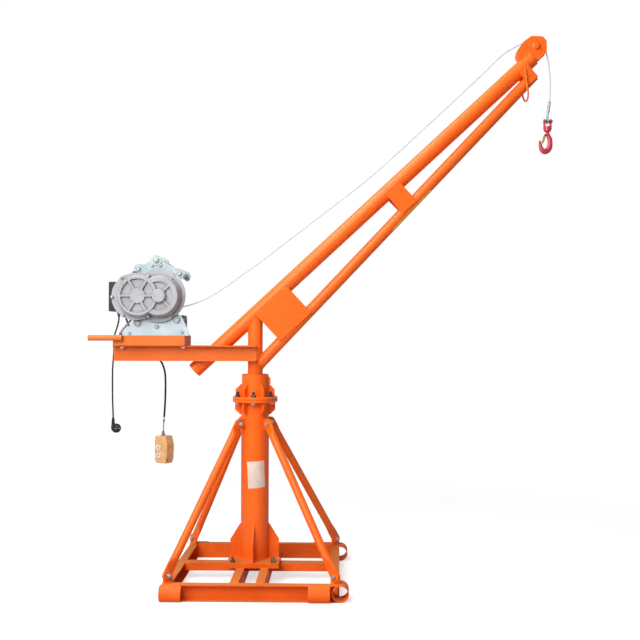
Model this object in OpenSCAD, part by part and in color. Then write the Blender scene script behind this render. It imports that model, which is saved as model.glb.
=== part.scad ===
// Portable mini crane: braced column on a steel channel base, slewing twin-tube boom,
// winch on tail beams, hoist rope over a head sheave to a swivel hook.
// Millimetres. Origin on the ground under the slew axis, +X along the boom, +Z up.

/* [Base frame] */
// Frame length along X
frame_len = 850; // [780:10:1000]
// Frame width along Y
frame_wid = 890; // [820:10:1000]
// Channel height
ch_h = 80; // [80:1:100]
// Channel flange width
ch_w = 43; // [38:1:48]
// Channel wall
ch_t = 5; // [4:0.5:6]
// Length of the side sockets and axle sleeves
socket_len = 104; // [80:4:120]

/* [Column] */
// Column outside diameter
col_d = 146; // [140:1:152]
// Column wall
col_t = 5; // [4:0.5:6]
// Height of the bolted flange joint
flange_z = 935; // [900:5:1000]
// Flange diameter
flange_d = 236; // [232:1:244]
// Flange bolt circle
flange_pcd = 200; // [194:1:204]
// Slew socket height above the joint
socket_h = 131; // [120:1:150]
// Strut tube diameter
strut_d = 40; // [34:1:42]

/* [Boom] */
// Boom angle
boom_ang = 42.8; // [41:0.2:45]
// Main boom tube diameter
main_d = 80; // [78:1:82]
// Height where the main tube axis crosses the slew axis
boom_z = 1382; // [1366:4:1394]
// Main tube length beyond the slew axis
boom_out = 1986; // [1900:2:2050]
// Main tube length behind the slew axis
boom_back = 437; // [400:1:450]
// Lower boom tube diameter
low_d = 60; // [54:1:62]
// Head sheave diameter
sheave_d = 90; // [86:1:92]

/* [Winch] */
// Winch seat height
seat_h = 52; // [46:1:56]
// Drum barrel diameter
drum_d = 122; // [110:1:126]
// Hoist rope diameter
rope_d = 8; // [5:0.5:8]
// Push handle diameter
handle_d = 29; // [27:1:32]

/* [Hidden] */
// Node to draw, or all

$fn = 48;
eps = 0.3;                       // depth of the seat cut where a flat meets a tube
orange = [0.95, 0.33, 0.06];
zinc = [0.72, 0.78, 0.80];
grey = [0.66, 0.66, 0.68];
dark = [0.08, 0.08, 0.08];
red = [0.72, 0.08, 0.14];

// base frame
fcx = 20;                        // frame centre along X
fx0 = fcx - frame_len / 2;
fx1 = fcx + frame_len / 2;
fy = frame_wid / 2;
web_y = fy - ch_w;               // inner face of the front and rear channels
sleeve_r = (ch_h + 2) / 2;
sleeve_x = fx1 + 5;
sleeve_t = 4.5;
rail_w = 64;
rail_h = 40;
cross_x = 84;                    // outer edge of the cross channels
plate_a = 270;
plate_t = 12;
foot_z = ch_h + 2 * plate_t;
col_r = col_d / 2;
bolt_a = 105;
gus_t = 8;

// struts
lug_r = col_r + 34;
lug_z = flange_z - 125;
lug_t = 8;
pin_r = 8;
hole_r = 8.5;
corner_z = ch_h + 32;
corner_x = frame_len / 2 - 20;
corner_y = fy - 45;
flat_w = strut_d + 12;

// flange joint and slew socket
fl_t = 14;
rim = 2.5;                       // broken edge of the flanges and covers
socket_top = flange_z + fl_t + socket_h - fl_t;
sock_r = col_r - 3;
sock_t = 7;
post_r = 39;
run = 0.05;                      // radial running fit
bush_z = flange_z + fl_t;

// boom frame: u along the tube, n across it
main_r = main_d / 2;
low_r = low_d / 2;
tube_t = 5;
ux = cos(boom_ang);
uz = sin(boom_ang);
tip = [boom_out * ux, boom_z + boom_out * uz];
low_s = boom_out - 56;           // lower tube ends this far along the boom
low_gap = main_r + low_r + 0.6;
low_end = [low_s * ux + low_gap * uz, boom_z + low_s * uz - low_gap * ux];
low_start = [0, boom_z - 287];
low_vec = low_end - low_start;
low_len = norm(low_vec);
low_ang = atan2(low_vec[1], low_vec[0]);
function low_depth(s) =          // distance from the main axis to the lower axis at s
  let (k = tan(low_ang - boom_ang), d0 = (boom_z - low_start[1]) * ux)
  d0 - (s - (low_start[1] - boom_z) * uz) * k;
pin_s = 52;                      // sheave pin beyond the tube end and above its axis
pin_n = 33;
pin = [tip[0] + pin_s * ux - pin_n * uz, tip[1] + pin_s * uz + pin_n * ux];
cheek_y = 20;
cheek_t = 6;
groove_r = sheave_d / 2 - 8;

// winch beams, seat and winch
beam_in = main_r;                // inner web faces
beam_z = 1136;
beam_x0 = -740;
beam_x1 = 10;
seat_z = beam_z + 80;
seat_x0 = -731;
seat_x1 = -358;
seat_y = 100;
seat_w = 37;
win_z = seat_z + seat_h;         // top of the seat
handle_x = -855;                 // free end of the push handle
handle_l = 175;
handle_z = seat_z + 40;

// hoist, measured from the drum axis
axis_h = 207;                    // drum axis above the seat
dx = -492;
dz = win_z + axis_h;
pl_y = 90;                       // inner face of the winch plates
pl_t = 8;
case_y = pl_y + pl_t;            // inner face of the gear case
disc_r = 138;
disc_t = 20;
case_t = 24;                     // flange of the gear case
barrel_w = 84;                   // half the width of the drum
wind_r = drum_d / 2 + 16;
rods = [[-107, 139], [106, 115], [-15, 185], [-111, -144], [94, -126]];
rod_r = 10;
big = [-95, -3];                 // cover centres
small = [12, -4];
big_r = 102;
small_r = 99;
cover_bolts = [[-233, -8], [-184, 92], [-48, 99], [69, 81], [109, -7], [70, -90],
  [-47, -109], [-176, -104]];

// cord routes
rope_route = [[-488, 0, 1399], [-470, 0, 1400], [-430, 0, 1409], [-376, 0, 1423],
  [-326, 0, 1437], [-256, 0, 1468], [-185, 0, 1509], [-81, 0, 1583], [40, 0, 1670],
  [320, 0, 1885], [605, 0, 2107], [900, 0, 2374], [1185, 0, 2640], [1292, 0, 2744],
  [1363, 0, 2791], [1411, 0, 2814]];
rope_down = [[1524, 0, 2785], [1531, 0, 2764], [1541, 0, 2720], [1547, 0, 2680],
  [1550, 0, 2644], [1552, 0, 2600], [1551, 0, 2556], [1548, 0, 2503]];
rope_r = rope_d / 2;
wrap_r = groove_r + rope_r + 0.6;
wrap = [for (a = [104:-9.25:30]) [pin[0] + wrap_r * cos(a), 0, pin[1] + wrap_r * sin(a)]];
rope_foot = rope_down[len(rope_down) - 1];
mains_r = 4;
mains_route = [[-707, -70, 1365], [-708, -69, 1350], [-712, -67, 1330], [-719, -63, 1308],
  [-727, -58, 1288], [-735, -50, 1267], [-740, -41, 1245], [-742, -33, 1220],
  [-743, -29, 1190], [-745, -28, 1160], [-747, -28, 1130], [-749, -30, 1090],
  [-749, -32, 1040], [-748, -34, 980], [-746, -37, 920], [-743, -40, 870],
  [-742, -40, 838]];
pend_r = 5;
pend_route = [[-680, -45, 1381], [-677, -40, 1360], [-668, -32, 1330], [-654, -24, 1300],
  [-635, -16, 1270], [-611, -9, 1238], [-580, -4, 1205], [-547, -1, 1177], [-517, 0, 1152],
  [-496, 0, 1125], [-482, 0, 1090], [-476, 0, 1050], [-475, 0, 980], [-477, 0, 910],
  [-481, 0, 845], [-486, 0, 764]];
yoke_x = 1537;
yoke_z = 2398;

// ---------- helpers ----------
module chan(len, h, w, t) {      // channel along X, web at y = 0..t, open to +Y
  difference() {
    cube([len, w, h]);
    translate([-1, t, t]) cube([len + 2, w, h - 2 * t]);
  }
}
module along_boom() {            // frame on the slew axis: X along the main tube, Z across
  translate([0, 0, boom_z]) rotate([0, -boom_ang, 0]) children();
}
module along_low() {
  translate([low_start[0], 0, low_start[1]]) rotate([0, -low_ang, 0]) children();
}
module xcyl(r, len) { rotate([0, 90, 0]) cylinder(r = r, h = len); }
module ycyl(r, y0, y1) { translate([0, y1, 0]) rotate([90, 0, 0]) cylinder(r = r, h = y1 - y0); }
module at_y(x, z) { translate([x, 0, z]) children(); }
module facing(y = 0) {           // drum axis frame, Z out of the near side from y
  translate([dx, -y, dz]) rotate([90, 0, 0]) children();
}
module xz_plate(pts, y0, y1) {   // flat plate in the XZ plane
  translate([0, y1, 0]) rotate([90, 0, 0]) linear_extrude(y1 - y0) polygon(pts);
}
module main_solid() { along_boom() translate([-boom_back - 1, 0, 0]) xcyl(main_r, boom_back + boom_out + 1); }
module low_solid() { along_low() xcyl(low_r, low_len); }
module rod(p, q, r) {            // round bar between two points
  v = q - p;
  translate(p) rotate([0, acos(v[2] / norm(v)), atan2(v[1], v[0])]) cylinder(r = r, h = norm(v), $fn = 24);
}
module hexa(af, h) { cylinder(d = af / cos(30), h = h, $fn = 6); }

function unit(v) = v / norm(v);
function spline(p, m) =          // smooth points through p, m steps a span
  [for (i = [0:len(p) - 2]) for (j = [0:m - 1])
     let (a = p[max(i - 1, 0)], b = p[i], c = p[i + 1], d = p[min(i + 2, len(p) - 1)], t = j / m)
     0.5 * (2 * b + (c - a) * t + (2 * a - 5 * b + 4 * c - d) * t * t
            + (3 * b - a - 3 * c + d) * t * t * t), p[len(p) - 1]];
function tang(p, i) = i == 0 ? unit(p[1] - p[0])
  : i == len(p) - 1 ? unit(p[i] - p[i - 1])
  : unit(unit(p[i + 1] - p[i]) + unit(p[i] - p[i - 1]));
module sweep(path, radii, sides = 8) {
  n = len(path);
  pts = [for (i = [0:n - 1]) let (b = unit(cross(tang(path, i), [0, 1, 0])), c = cross(b, tang(path, i)))
    for (k = [0:sides - 1]) path[i] + radii[i] * (cos(360 * k / sides) * b + sin(360 * k / sides) * c)];
  walls = [for (i = [0:n - 2]) for (k = [0:sides - 1])
    let (a = i * sides + k, b = i * sides + (k + 1) % sides, c = a + sides, d = b + sides)
    each [[a, b, d], [a, d, c]]];
  caps = [[for (k = [sides - 1:-1:0]) k], [for (k = [0:sides - 1]) (n - 1) * sides + k]];
  polyhedron(pts, concat(walls, caps), convexity = 6);
}
module cord(path, r, sides = 8) { sweep(path, [for (p = path) r], sides); }

// ---------- base frame ----------
module sleeve_cut() {
  for (s = [-1, 1]) translate([sleeve_x, 0, sleeve_r]) ycyl(sleeve_r, s > 0 ? fy - 98 : -fy - 2, s > 0 ? fy + 2 : -fy + 98);
}
module front_channel() color(orange) difference() {
  translate([fx0, -web_y, 0]) mirror([0, 1, 0]) chan(frame_len, ch_h, ch_w, ch_t);
  sleeve_cut();
}
module rear_channel() color(orange) difference() {
  translate([fx0, web_y, 0]) chan(frame_len, ch_h, ch_w, ch_t);
  sleeve_cut();
}
module left_channel() color(orange)
  translate([fx0, web_y, 0]) rotate([0, 0, -90]) chan(2 * web_y, ch_h, ch_w, ch_t);
module right_channel() color(orange) difference() {
  translate([fx1, -web_y, 0]) rotate([0, 0, 90]) chan(2 * web_y, ch_h, ch_w, ch_t);
  sleeve_cut();
}
module rail(x0, x1) translate([x0, -rail_w / 2, ch_h - rail_h]) difference() {
  cube([x1 - x0, rail_w, rail_h]);
  translate([-1, ch_t, -ch_t]) cube([x1 - x0 + 2, rail_w - 2 * ch_t, rail_h]);
}
module inner_members() color(orange) {
  for (x = [-cross_x + ch_w, cross_x])
    translate([x, -web_y, 0]) rotate([0, 0, 90]) chan(2 * web_y, ch_h, ch_w, ch_t);
  rail(fx0 + ch_w, -cross_x);
  rail(-cross_x + ch_w, cross_x - ch_w);
  rail(cross_x, fx1 - ch_w);
}
module side_sockets() color(orange)
  for (s = [-1, 1]) for (x = [fx0 - 7, fx1 - 45 - socket_len])
    translate([x, s * fy, ch_h / 2]) difference() {
      xcyl(ch_h / 2, socket_len);
      translate([-1, 0, 0]) xcyl(ch_h / 2 - ch_t, socket_len + 2);
      translate([-1, s > 0 ? -ch_h : 0, -ch_h]) cube([socket_len + 2, ch_h, 2 * ch_h]);
    }
module axle_sleeves() color(orange)
  for (s = [-1, 1]) translate([sleeve_x, 0, sleeve_r]) difference() {
    y0 = s > 0 ? fy - 98 : -fy - 2;
    ycyl(sleeve_r, y0, y0 + 100);
    ycyl(sleeve_r - sleeve_t, y0 - 1, y0 + 101);
  }
module seat_plate() color(orange) difference() {
  translate([-plate_a / 2, -plate_a / 2, ch_h]) cube([plate_a, plate_a, plate_t]);
  for (x = [-1, 1]) for (y = [-1, 1])
    translate([x * bolt_a, y * bolt_a, ch_h - 1]) cylinder(r = hole_r, h = plate_t + 2);
}
module column_foot() color(orange) {
  difference() {
    translate([-plate_a / 2, -plate_a / 2, ch_h + plate_t]) cube([plate_a, plate_a, plate_t]);
    for (x = [-1, 1]) for (y = [-1, 1])
      translate([x * bolt_a, y * bolt_a, ch_h]) cylinder(r = hole_r, h = 2 * plate_t + 2);
  }
  for (a = [0:90:270]) rotate([0, 0, a]) difference() {
    xz_plate([[col_r - 4, foot_z], [col_r + 55, foot_z], [col_r + 55, foot_z + 96],
              [col_r + 4, foot_z + 178], [col_r - 4, foot_z + 178]], -gus_t / 2, gus_t / 2);
    cylinder(r = col_r, h = 1000, $fn = 96);
  }
}
module column_tube() color(orange) difference() {
  translate([0, 0, foot_z]) cylinder(r = col_r, h = flange_z - foot_z, $fn = 96);
  translate([0, 0, foot_z - 1]) cylinder(r = col_r - col_t, h = flange_z, $fn = 96);
}
module flange_gussets(h1, h2, r0) {
  for (a = [0:60:300]) rotate([0, 0, a]) difference() {
    xz_plate([[r0 - 4, 0], [r0 + 33, 0], [r0 + 33, h1], [r0 + 6, h2], [r0 - 4, h2]],
             -gus_t / 2, gus_t / 2);
    translate([0, 0, -1]) cylinder(r = r0, h = h2 + 2, $fn = 96);
  }
}
module bolt_holes() for (a = [-90:60:210]) rotate([0, 0, a]) translate([flange_pcd / 2, 0, -1])
  cylinder(r = hole_r, h = fl_t + 2);
module broken_disc(r, h, c) {       // disc with both rims broken by c
  translate([0, 0, c]) cylinder(r = r, h = h - 2 * c, $fn = 96);
  cylinder(r1 = r - c, r2 = r, h = c, $fn = 96);
  translate([0, 0, h - c]) cylinder(r1 = r, r2 = r - c, h = c, $fn = 96);
}
module lower_flange() color(orange) {
  translate([0, 0, flange_z - fl_t]) difference() {
    broken_disc(flange_d / 2, fl_t, rim);
    translate([0, 0, -1]) cylinder(r = col_r, h = fl_t + 2, $fn = 96);
    bolt_holes();
  }
  translate([0, 0, flange_z - fl_t]) mirror([0, 0, 1]) flange_gussets(41, 67, col_r);
}
module upper_flange() color(orange) {
  translate([0, 0, flange_z]) difference() {
    broken_disc(flange_d / 2, fl_t, rim);
    translate([0, 0, -1]) cylinder(r = 30, h = fl_t + 2);
    bolt_holes();
  }
  translate([0, 0, bush_z]) flange_gussets(37, 64, sock_r);
}
module socket_tube() color(orange) {
  translate([0, 0, bush_z]) difference() {
    cylinder(r = sock_r, h = socket_h - fl_t, $fn = 96);
    translate([0, 0, -1]) cylinder(r = sock_r - sock_t, h = socket_h, $fn = 96);
  }
  difference() {
    xz_plate([[sock_r - 4, bush_z + 65], [sock_r + 10, bush_z + 65], [sock_r + 10, bush_z + 94],
              [sock_r + 3, bush_z + 104], [sock_r - 4, bush_z + 104]], -12, 12);
    cylinder(r = sock_r, h = 2000, $fn = 96);
  }
}
module slew_bushes() color([0.62, 0.5, 0.28]) {
  translate([0, 0, bush_z]) difference() {
    cylinder(r = sock_r - sock_t, h = 36, $fn = 96);
    translate([0, 0, 6]) cylinder(r = post_r + run, h = 40, $fn = 96);
    translate([0, 0, -1]) cylinder(r = 20, h = 10);
  }
  translate([0, 0, socket_top - 34]) difference() {
    cylinder(r = sock_r - sock_t, h = 24, $fn = 96);
    translate([0, 0, -1]) cylinder(r = post_r + run, h = 30, $fn = 96);
  }
}

// ---------- struts ----------
function top_pin(sx, sy) = [sx * lug_r * cos(45), sy * lug_r * sin(45), lug_z];
function foot_pin(sx, sy) = [fcx + sx * corner_x, sy * corner_y, corner_z];
function strut_az(sx, sy) = let (v = foot_pin(sx, sy) - top_pin(sx, sy)) atan2(v[1], v[0]);
function strut_run(sx, sy) = let (v = foot_pin(sx, sy) - top_pin(sx, sy)) norm([v[0], v[1]]);
function strut_len(sx, sy) = norm(foot_pin(sx, sy) - top_pin(sx, sy));
function strut_dip(sx, sy) = atan2(lug_z - corner_z, strut_run(sx, sy));
module in_strut(sx, sy) {        // X down the strut, Y across the lug plane, Z square to both
  translate(top_pin(sx, sy)) rotate([0, 0, strut_az(sx, sy)]) rotate([0, strut_dip(sx, sy), 0])
    children();
}
module flat_end(x0, x1) {        // flattened tube end with a bolt hole at x = 0
  difference() {
    union() {
      translate([min(x0, x1), -lug_t, -flat_w / 2]) cube([abs(x1 - x0), lug_t, flat_w]);
      ycyl(flat_w / 2, -lug_t, 0);
    }
    ycyl(hole_r, -lug_t - 1, 1);
  }
}
module strut(sx, sy) in_strut(sx, sy) {
  l = strut_len(sx, sy);
  flat_end(0, 24);
  translate([l, 0, 0]) flat_end(-44, 0);
  for (q = [[24, 70], [l - 44, l - 104]]) hull() {
    translate([min(q[0], q[0] + (q[1] > q[0] ? 0 : -0.5)), -lug_t, -flat_w / 2]) cube([0.5, lug_t, flat_w]);
    translate([q[1] - (q[1] > q[0] ? 0.5 : 0), -lug_t / 2, 0]) xcyl(strut_d / 2, 0.5, $fn = 24);
  }
  translate([70, -lug_t / 2, 0]) difference() {
    xcyl(strut_d / 2, l - 174);
    translate([-1, 0, 0]) xcyl(strut_d / 2 - 3, l - 172);
  }
}
module front_struts() color(orange) for (sx = [-1, 1]) strut(sx, -1);
module rear_struts() color(orange) for (sx = [-1, 1]) strut(sx, 1);
module strut_lugs() color(orange) {
  for (sx = [-1, 1]) for (sy = [-1, 1]) {
    difference() {               // column lug
      translate(top_pin(sx, sy)) rotate([0, 0, strut_az(sx, sy)]) difference() {
        union() {
          translate([-44, 0, -26]) cube([44, lug_t, 52]);
          ycyl(26, 0, lug_t);
        }
        ycyl(hole_r, -1, lug_t + 1);
      }
      cylinder(r = col_r, h = 1000, $fn = 96);
    }
    difference() {               // corner lug
      translate(foot_pin(sx, sy)) rotate([0, 0, strut_az(sx, sy)]) difference() {
        union() {
          translate([-26, 0, ch_h - corner_z]) cube([52, lug_t, corner_z - ch_h]);
          ycyl(26, 0, lug_t);
        }
        ycyl(hole_r, -1, lug_t + 1);
      }
      sleeve_cut();
      translate([-1000, -1000, -500]) cube([2000, 2000, 500 + ch_h]);
    }
  }
}
module m16(grip, up = 16) {      // bolt from z = 0 upwards through the grip
  translate([0, 0, -10]) hexa(24, 10);
  cylinder(r = pin_r, h = grip + 13 + up, $fn = 24);
  translate([0, 0, grip]) hexa(24, 13);
}
module frame_bolts() color(zinc) {
  for (x = [-1, 1]) for (y = [-1, 1]) translate([x * bolt_a, y * bolt_a, ch_h]) m16(2 * plate_t);
  for (a = [-90:60:210]) rotate([0, 0, a]) translate([flange_pcd / 2, 0, flange_z - fl_t]) m16(2 * fl_t);
  for (sx = [-1, 1]) for (sy = [-1, 1]) for (p = [top_pin(sx, sy), foot_pin(sx, sy)])
    translate(p) rotate([0, 0, strut_az(sx, sy)]) translate([0, -lug_t, 0]) rotate([-90, 0, 0]) m16(2 * lug_t, 6);
}

// ---------- boom ----------
module slew_post() color(orange) difference() {
  translate([0, 0, bush_z + 6.1]) cylinder(r = post_r, h = boom_z - bush_z, $fn = 96);
  translate([0, 0, bush_z]) cylinder(r = post_r - 6, h = boom_z, $fn = 96);
  main_solid();
  along_boom() translate([-300, -100, 0]) cube([600, 200, 300]);
}
module main_boom_tube() color(orange) along_boom() translate([-boom_back, 0, 0]) difference() {
  xcyl(main_r, boom_back + boom_out, $fn = 96);
  translate([-1, 0, 0]) xcyl(main_r - tube_t, boom_back + boom_out + 2, $fn = 96);
}
module lower_boom_tube() color(orange) difference() {
  low_solid($fn = 96);
  along_low() translate([-1, 0, 0]) xcyl(low_r - 4, low_len + 2, $fn = 96);
  translate([0, 0, boom_z - 500]) cylinder(r = post_r, h = 500, $fn = 96);
}
module tie_plates(s0, s1, below = 2) {  // a pair of plates across both tubes, s0 to s1
  d = low_depth((s0 + s1) / 2);
  th = asin((main_r - low_r) / d);
  difference() {
    for (m = [0, 1]) mirror([0, m, 0]) along_boom() rotate([th, 0, 0])
      translate([s0, -main_r - 6 + eps, -d * cos(th) - below]) cube([s1 - s0, 6, d * cos(th) + below + 2]);
    main_solid($fn = 96);
    low_solid($fn = 96);
  }
}
module boom_plates() color(orange) { tie_plates(2, 222); tie_plates(928, 1026); }
module tip_plates() color(orange) tie_plates(boom_out - 116, boom_out - 52, 15);
module cheek_outline() offset(r = 9) offset(delta = -9)
  polygon([[-58, 0], [-64, 40], [-56, 66], [-34, 83], [20, 94], [71, 88], [113, 44], [110, 13],
    [70, -30], [6, -30], [-4, 0]]);
module head_cheeks() color(orange) difference() {
  along_boom() translate([boom_out, 0, 0]) difference() {
    union() {
      for (s = [0, 1]) mirror([0, s, 0])
        translate([0, cheek_y + cheek_t, 0]) rotate([90, 0, 0]) linear_extrude(cheek_t) cheek_outline();
      translate([0, cheek_y + 1, 0]) rotate([90, 0, 0]) linear_extrude(2 * cheek_y + 2) difference() {
        cheek_outline();          // curved saddle that joins the cheeks behind the sheave
        offset(delta = -cheek_t) cheek_outline();
        translate([-42, -100]) square([200, 220]);
      }
    }
    translate([pin_s, 0, pin_n]) ycyl(10, -60, 60);
  }
  main_solid($fn = 96);
}
module sheave_pin() color(orange) at_y(pin[0], pin[1]) {
  ycyl(10, -cheek_y - cheek_t, cheek_y + cheek_t);
  for (s = [0, 1]) mirror([0, s, 0]) ycyl(15, cheek_y + cheek_t, cheek_y + cheek_t + 9);
}
module head_sheave() color(zinc) at_y(pin[0], pin[1]) rotate([90, 0, 0]) difference() {
  rotate_extrude($fn = 96) polygon([[10 + run, -16], [20, -16], [22, -13], [groove_r - 6, -13],
    [sheave_d / 2, -15], [sheave_d / 2, -12], [groove_r + 1, -4], [groove_r, 0], [groove_r + 1, 4],
    [sheave_d / 2, 12], [sheave_d / 2, 15], [groove_r - 6, 13], [22, 13], [20, 16], [10 + run, 16]]);
}
hoop_y = 47;
hoop_r = 4.5;
hoop_leg = 110;
hoop_s = boom_out - 84;          // where its legs meet the tip plates
hoop_n = -15;
module tip_hoop() color(orange) difference() {
  translate([hoop_s * ux - hoop_n * uz, 0, boom_z + hoop_s * uz + hoop_n * ux])
    rotate([0, 0, 5.5]) rotate([0, -8, 0]) {
      for (s = [-1, 1]) translate([0, s * hoop_y, -hoop_leg]) cylinder(r = hoop_r, h = hoop_leg, $fn = 24);
      translate([0, 0, -hoop_leg]) rotate([0, 90, 0]) rotate([0, 0, -90])
        rotate_extrude(angle = 180) translate([hoop_y, 0]) circle(r = hoop_r, $fn = 24);
    }
  tie_plates(boom_out - 116, boom_out - 52, 15);
}

// ---------- winch beams, seat and handle ----------
module winch_beams() color(orange) difference() {
  for (s = [0, 1]) mirror([0, s, 0])
    translate([beam_x0, beam_in - eps, beam_z]) chan(beam_x1 - beam_x0, 80, ch_w, ch_t);
  translate([0, 0, 1000]) cylinder(r = post_r, h = 400, $fn = 96);
  main_solid($fn = 96);
}
module winch_seat() color(orange) translate([0, 0, seat_z]) {
  l = seat_x1 - seat_x0;
  for (s = [0, 1]) mirror([0, s, 0])
    translate([seat_x0, -seat_y, 0]) chan(l, seat_h, seat_w, ch_t);
  inner = 2 * (seat_y - ch_t);
  translate([seat_x0, inner / 2, 0]) rotate([0, 0, -90]) chan(inner, seat_h, seat_w, ch_t);
  translate([seat_x1, -inner / 2, 0]) rotate([0, 0, 90]) chan(inner, seat_h, seat_w, ch_t);
}
module push_handle() color(orange) difference() {
  translate([handle_x, -seat_y - handle_d / 2 + eps, handle_z]) difference() {
    xcyl(handle_d / 2, handle_l);
    translate([-1, 0, 0]) xcyl(handle_d / 2 - 3, handle_l + 2);
  }
  translate([handle_x - 50, -seat_y, seat_z - 50]) cube([600, 50, 200]);
}

// ---------- hoist ----------
module both_sides() for (s = [0, 1]) mirror([0, s, 0]) children();
module at_rods() for (p = rods) translate(p) children();
foot_x0 = -187;                  // foot plates from the drum axis; the rear one is shorter
foot_front = 154;
foot_rear = 114;
module foot_plate(x1) {
  facing(pl_y) difference() {
    linear_extrude(pl_t) polygon([[foot_x0, -axis_h], [x1, -axis_h], [x1, 20 - axis_h],
      [min(127, x1), -124], [min(112, x1 - 2), -100], [88, -96], [44, -130], [0, -137], [-48, -130],
      [-104, -113], [-130, -124], [-150, -152], [foot_x0, 20 - axis_h]]);
    at_rods() cylinder(r = rod_r, h = 60, center = true);
  }
  translate([dx + foot_x0, -pl_y, win_z]) cube([x1 - foot_x0, 36, 7]);
}
module foot_plates() color(zinc) {
  foot_plate(foot_front);
  mirror([0, 1, 0]) foot_plate(foot_rear);
}
module ear_plates() color(zinc) both_sides() facing(pl_y) difference() {
  union() {
    linear_extrude(pl_t) polygon([[-132, 131], [-120, 109], [-98, 107], [-68, 122], [0, 136],
      [62, 125], [112, 85], [126, 91], [134, 115], [120, 137], [92, 143], [52, 159], [20, 180],
      [-48, 180], [-78, 163], [-108, 165], [-128, 153]]);
    translate(rods[2]) cylinder(r = 28, h = pl_t + 4);
    translate(rods[0]) cylinder(r = 24, h = pl_t + 2);
    translate(rods[1]) cylinder(r = 22, h = pl_t + 2);
  }
  at_rods() cylinder(r = rod_r, h = 60, center = true);
}
module tie_rods() color(zinc) {
  facing(-case_y - 4) at_rods() cylinder(r = rod_r, h = 2 * case_y + 8);
  both_sides() for (i = [0:len(rods) - 1]) facing(0) translate(rods[i]) {
    translate([0, 0, pl_y - 8]) cylinder(r = rod_r + 3, h = 8);
    translate([0, 0, case_y + (i > 2 ? 0 : i == 2 ? 4 : 2)])
      cylinder(r = rod_r + (i == 2 ? 7 : 3), h = i > 2 ? 13 : 10);
  }
}
module spoked_cover(c, r, ring, hub, h, sunk, angles) translate(c) difference() {
  union() {
    cylinder(r1 = r + 8, r2 = r, h = h - rim, $fn = 96);
    translate([0, 0, h - rim]) cylinder(r1 = r, r2 = r - rim, h = rim, $fn = 96);
  }
  translate([0, 0, h - sunk]) difference() {      // web sunk between the rim, hub and spokes
    cylinder(r = ring, h = sunk + 1, $fn = 96);
    translate([0, 0, -1]) cylinder(r = hub, h = sunk + 3);
    for (a = angles) rotate([0, 0, a]) translate([hub - 4, -5, -1]) cube([ring - hub + 8, 10, sunk + 3]);
  }
}
module gear_case() color(grey) facing(case_y + disc_t) {
  translate(big - [20, 2]) cylinder(r = big_r + 20, h = case_t, $fn = 96);
  translate(small) cylinder(r = small_r + 9, h = case_t, $fn = 96);
  for (p = cover_bolts) translate(p) cylinder(r = 9, h = case_t + 4, $fn = 24);
  translate([0, 0, case_t]) {
    spoked_cover(big, big_r, 88, 38, 38, 11, [0:60:300]);
    difference() {
      spoked_cover(small, small_r, 74, 20, 34, 10, [45:90:315]);
      translate(big) cylinder(r = big_r - 7, h = 60);
    }
    translate(small + [2, 0]) broken_disc(34, 46, rim);
  }
}
module case_disc() color(grey) facing(case_y) difference() {
  cylinder(r = disc_r, h = disc_t, $fn = 96);
  at_rods() translate([0, 0, -1]) cylinder(r = 25, h = disc_t + 2);
}
module drum() color(grey) {
  facing(-barrel_w) cylinder(d = drum_d, h = 2 * barrel_w, $fn = 72);
  both_sides() {
    facing(barrel_w - 6) cylinder(r = 98, h = 6, $fn = 96);
    facing(barrel_w) cylinder(r = 30, h = case_y - barrel_w);
  }
}
module rope_winding() color([0.75, 0.76, 0.78]) facing(-(barrel_w - 6)) difference() {
  cylinder(r = wind_r, h = 2 * (barrel_w - 6), $fn = 72);
  translate([0, 0, -1]) cylinder(d = drum_d, h = 2 * barrel_w, $fn = 72);
}
motor_r = 70;
module motor() color(grey) mirror([0, 1, 0]) facing(case_y) {
  cylinder(r = 96, h = 16, $fn = 96);
  cylinder(r = motor_r, h = 120, $fn = 72);
  translate([0, 0, 120]) cylinder(r = motor_r + 5, h = 32, $fn = 72);
  for (a = [0:20:340]) rotate([0, 0, a]) translate([motor_r - 2, -1.5, 10]) cube([6, 3, 112]);
}
box_x = dx - 259;                // control box
box_z = dz - 82;
module control_box() color(dark) {
  translate([box_x, -112, box_z]) cube([96, 92, 154]);
  translate([box_x + 24, -118, box_z + 28]) cube([56, 6, 98]);
  for (g = [[mains_route[0], 12], [pend_route[0], 9]])
    translate(g[0]) cylinder(r = g[1], h = box_z + 1 - g[0][2], $fn = 24);
}

// ---------- rope, cords, plug and pendant ----------
module hoist_rope() color([0.78, 0.8, 0.82])
  cord(concat(rope_route, wrap, rope_down), rope_r, 10);
module rope_end() color(zinc) {  // swaged sleeve over the thimble eye
  translate(rope_foot) rotate([0, 8, 0]) mirror([0, 0, 1]) cylinder(r = 8, h = 58, $fn = 24);
  translate([yoke_x, 0, yoke_z + 5.9]) {
    rotate([0, 90, 0]) rotate_extrude() translate([16, 0]) circle(r = 4, $fn = 16);
    for (s = [-1, 1]) rod([0, s * 15.2, 5], [4, s * 4, 46], 3.5);
  }
}
module mains_cord() color(dark) cord(spline(mains_route, 2), mains_r, 8);
plug_z = 783;
module mains_plug() color(dark) { // side-entry plug, its pins towards the near side
  translate([-742, -40, plug_z + 2]) cylinder(r1 = 11, r2 = 6, h = 53, $fn = 24);
  translate([-734, -28, plug_z]) rotate([90, 0, 30]) {
    cylinder(r = 24, h = 30);
    for (x = [-9.5, 9.5]) translate([x, 0, 0]) cylinder(r = 2.4, h = 49, $fn = 16);
  }
}
module pendant_cord() color(dark) cord(spline(pend_route, 2), pend_r, 8);
pendant_at = [-476, 0, 598];      // foot of the push-button box
pendant_w = 80;
pendant_d = 62;
pendant_h = 143;
button = 20;
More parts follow.
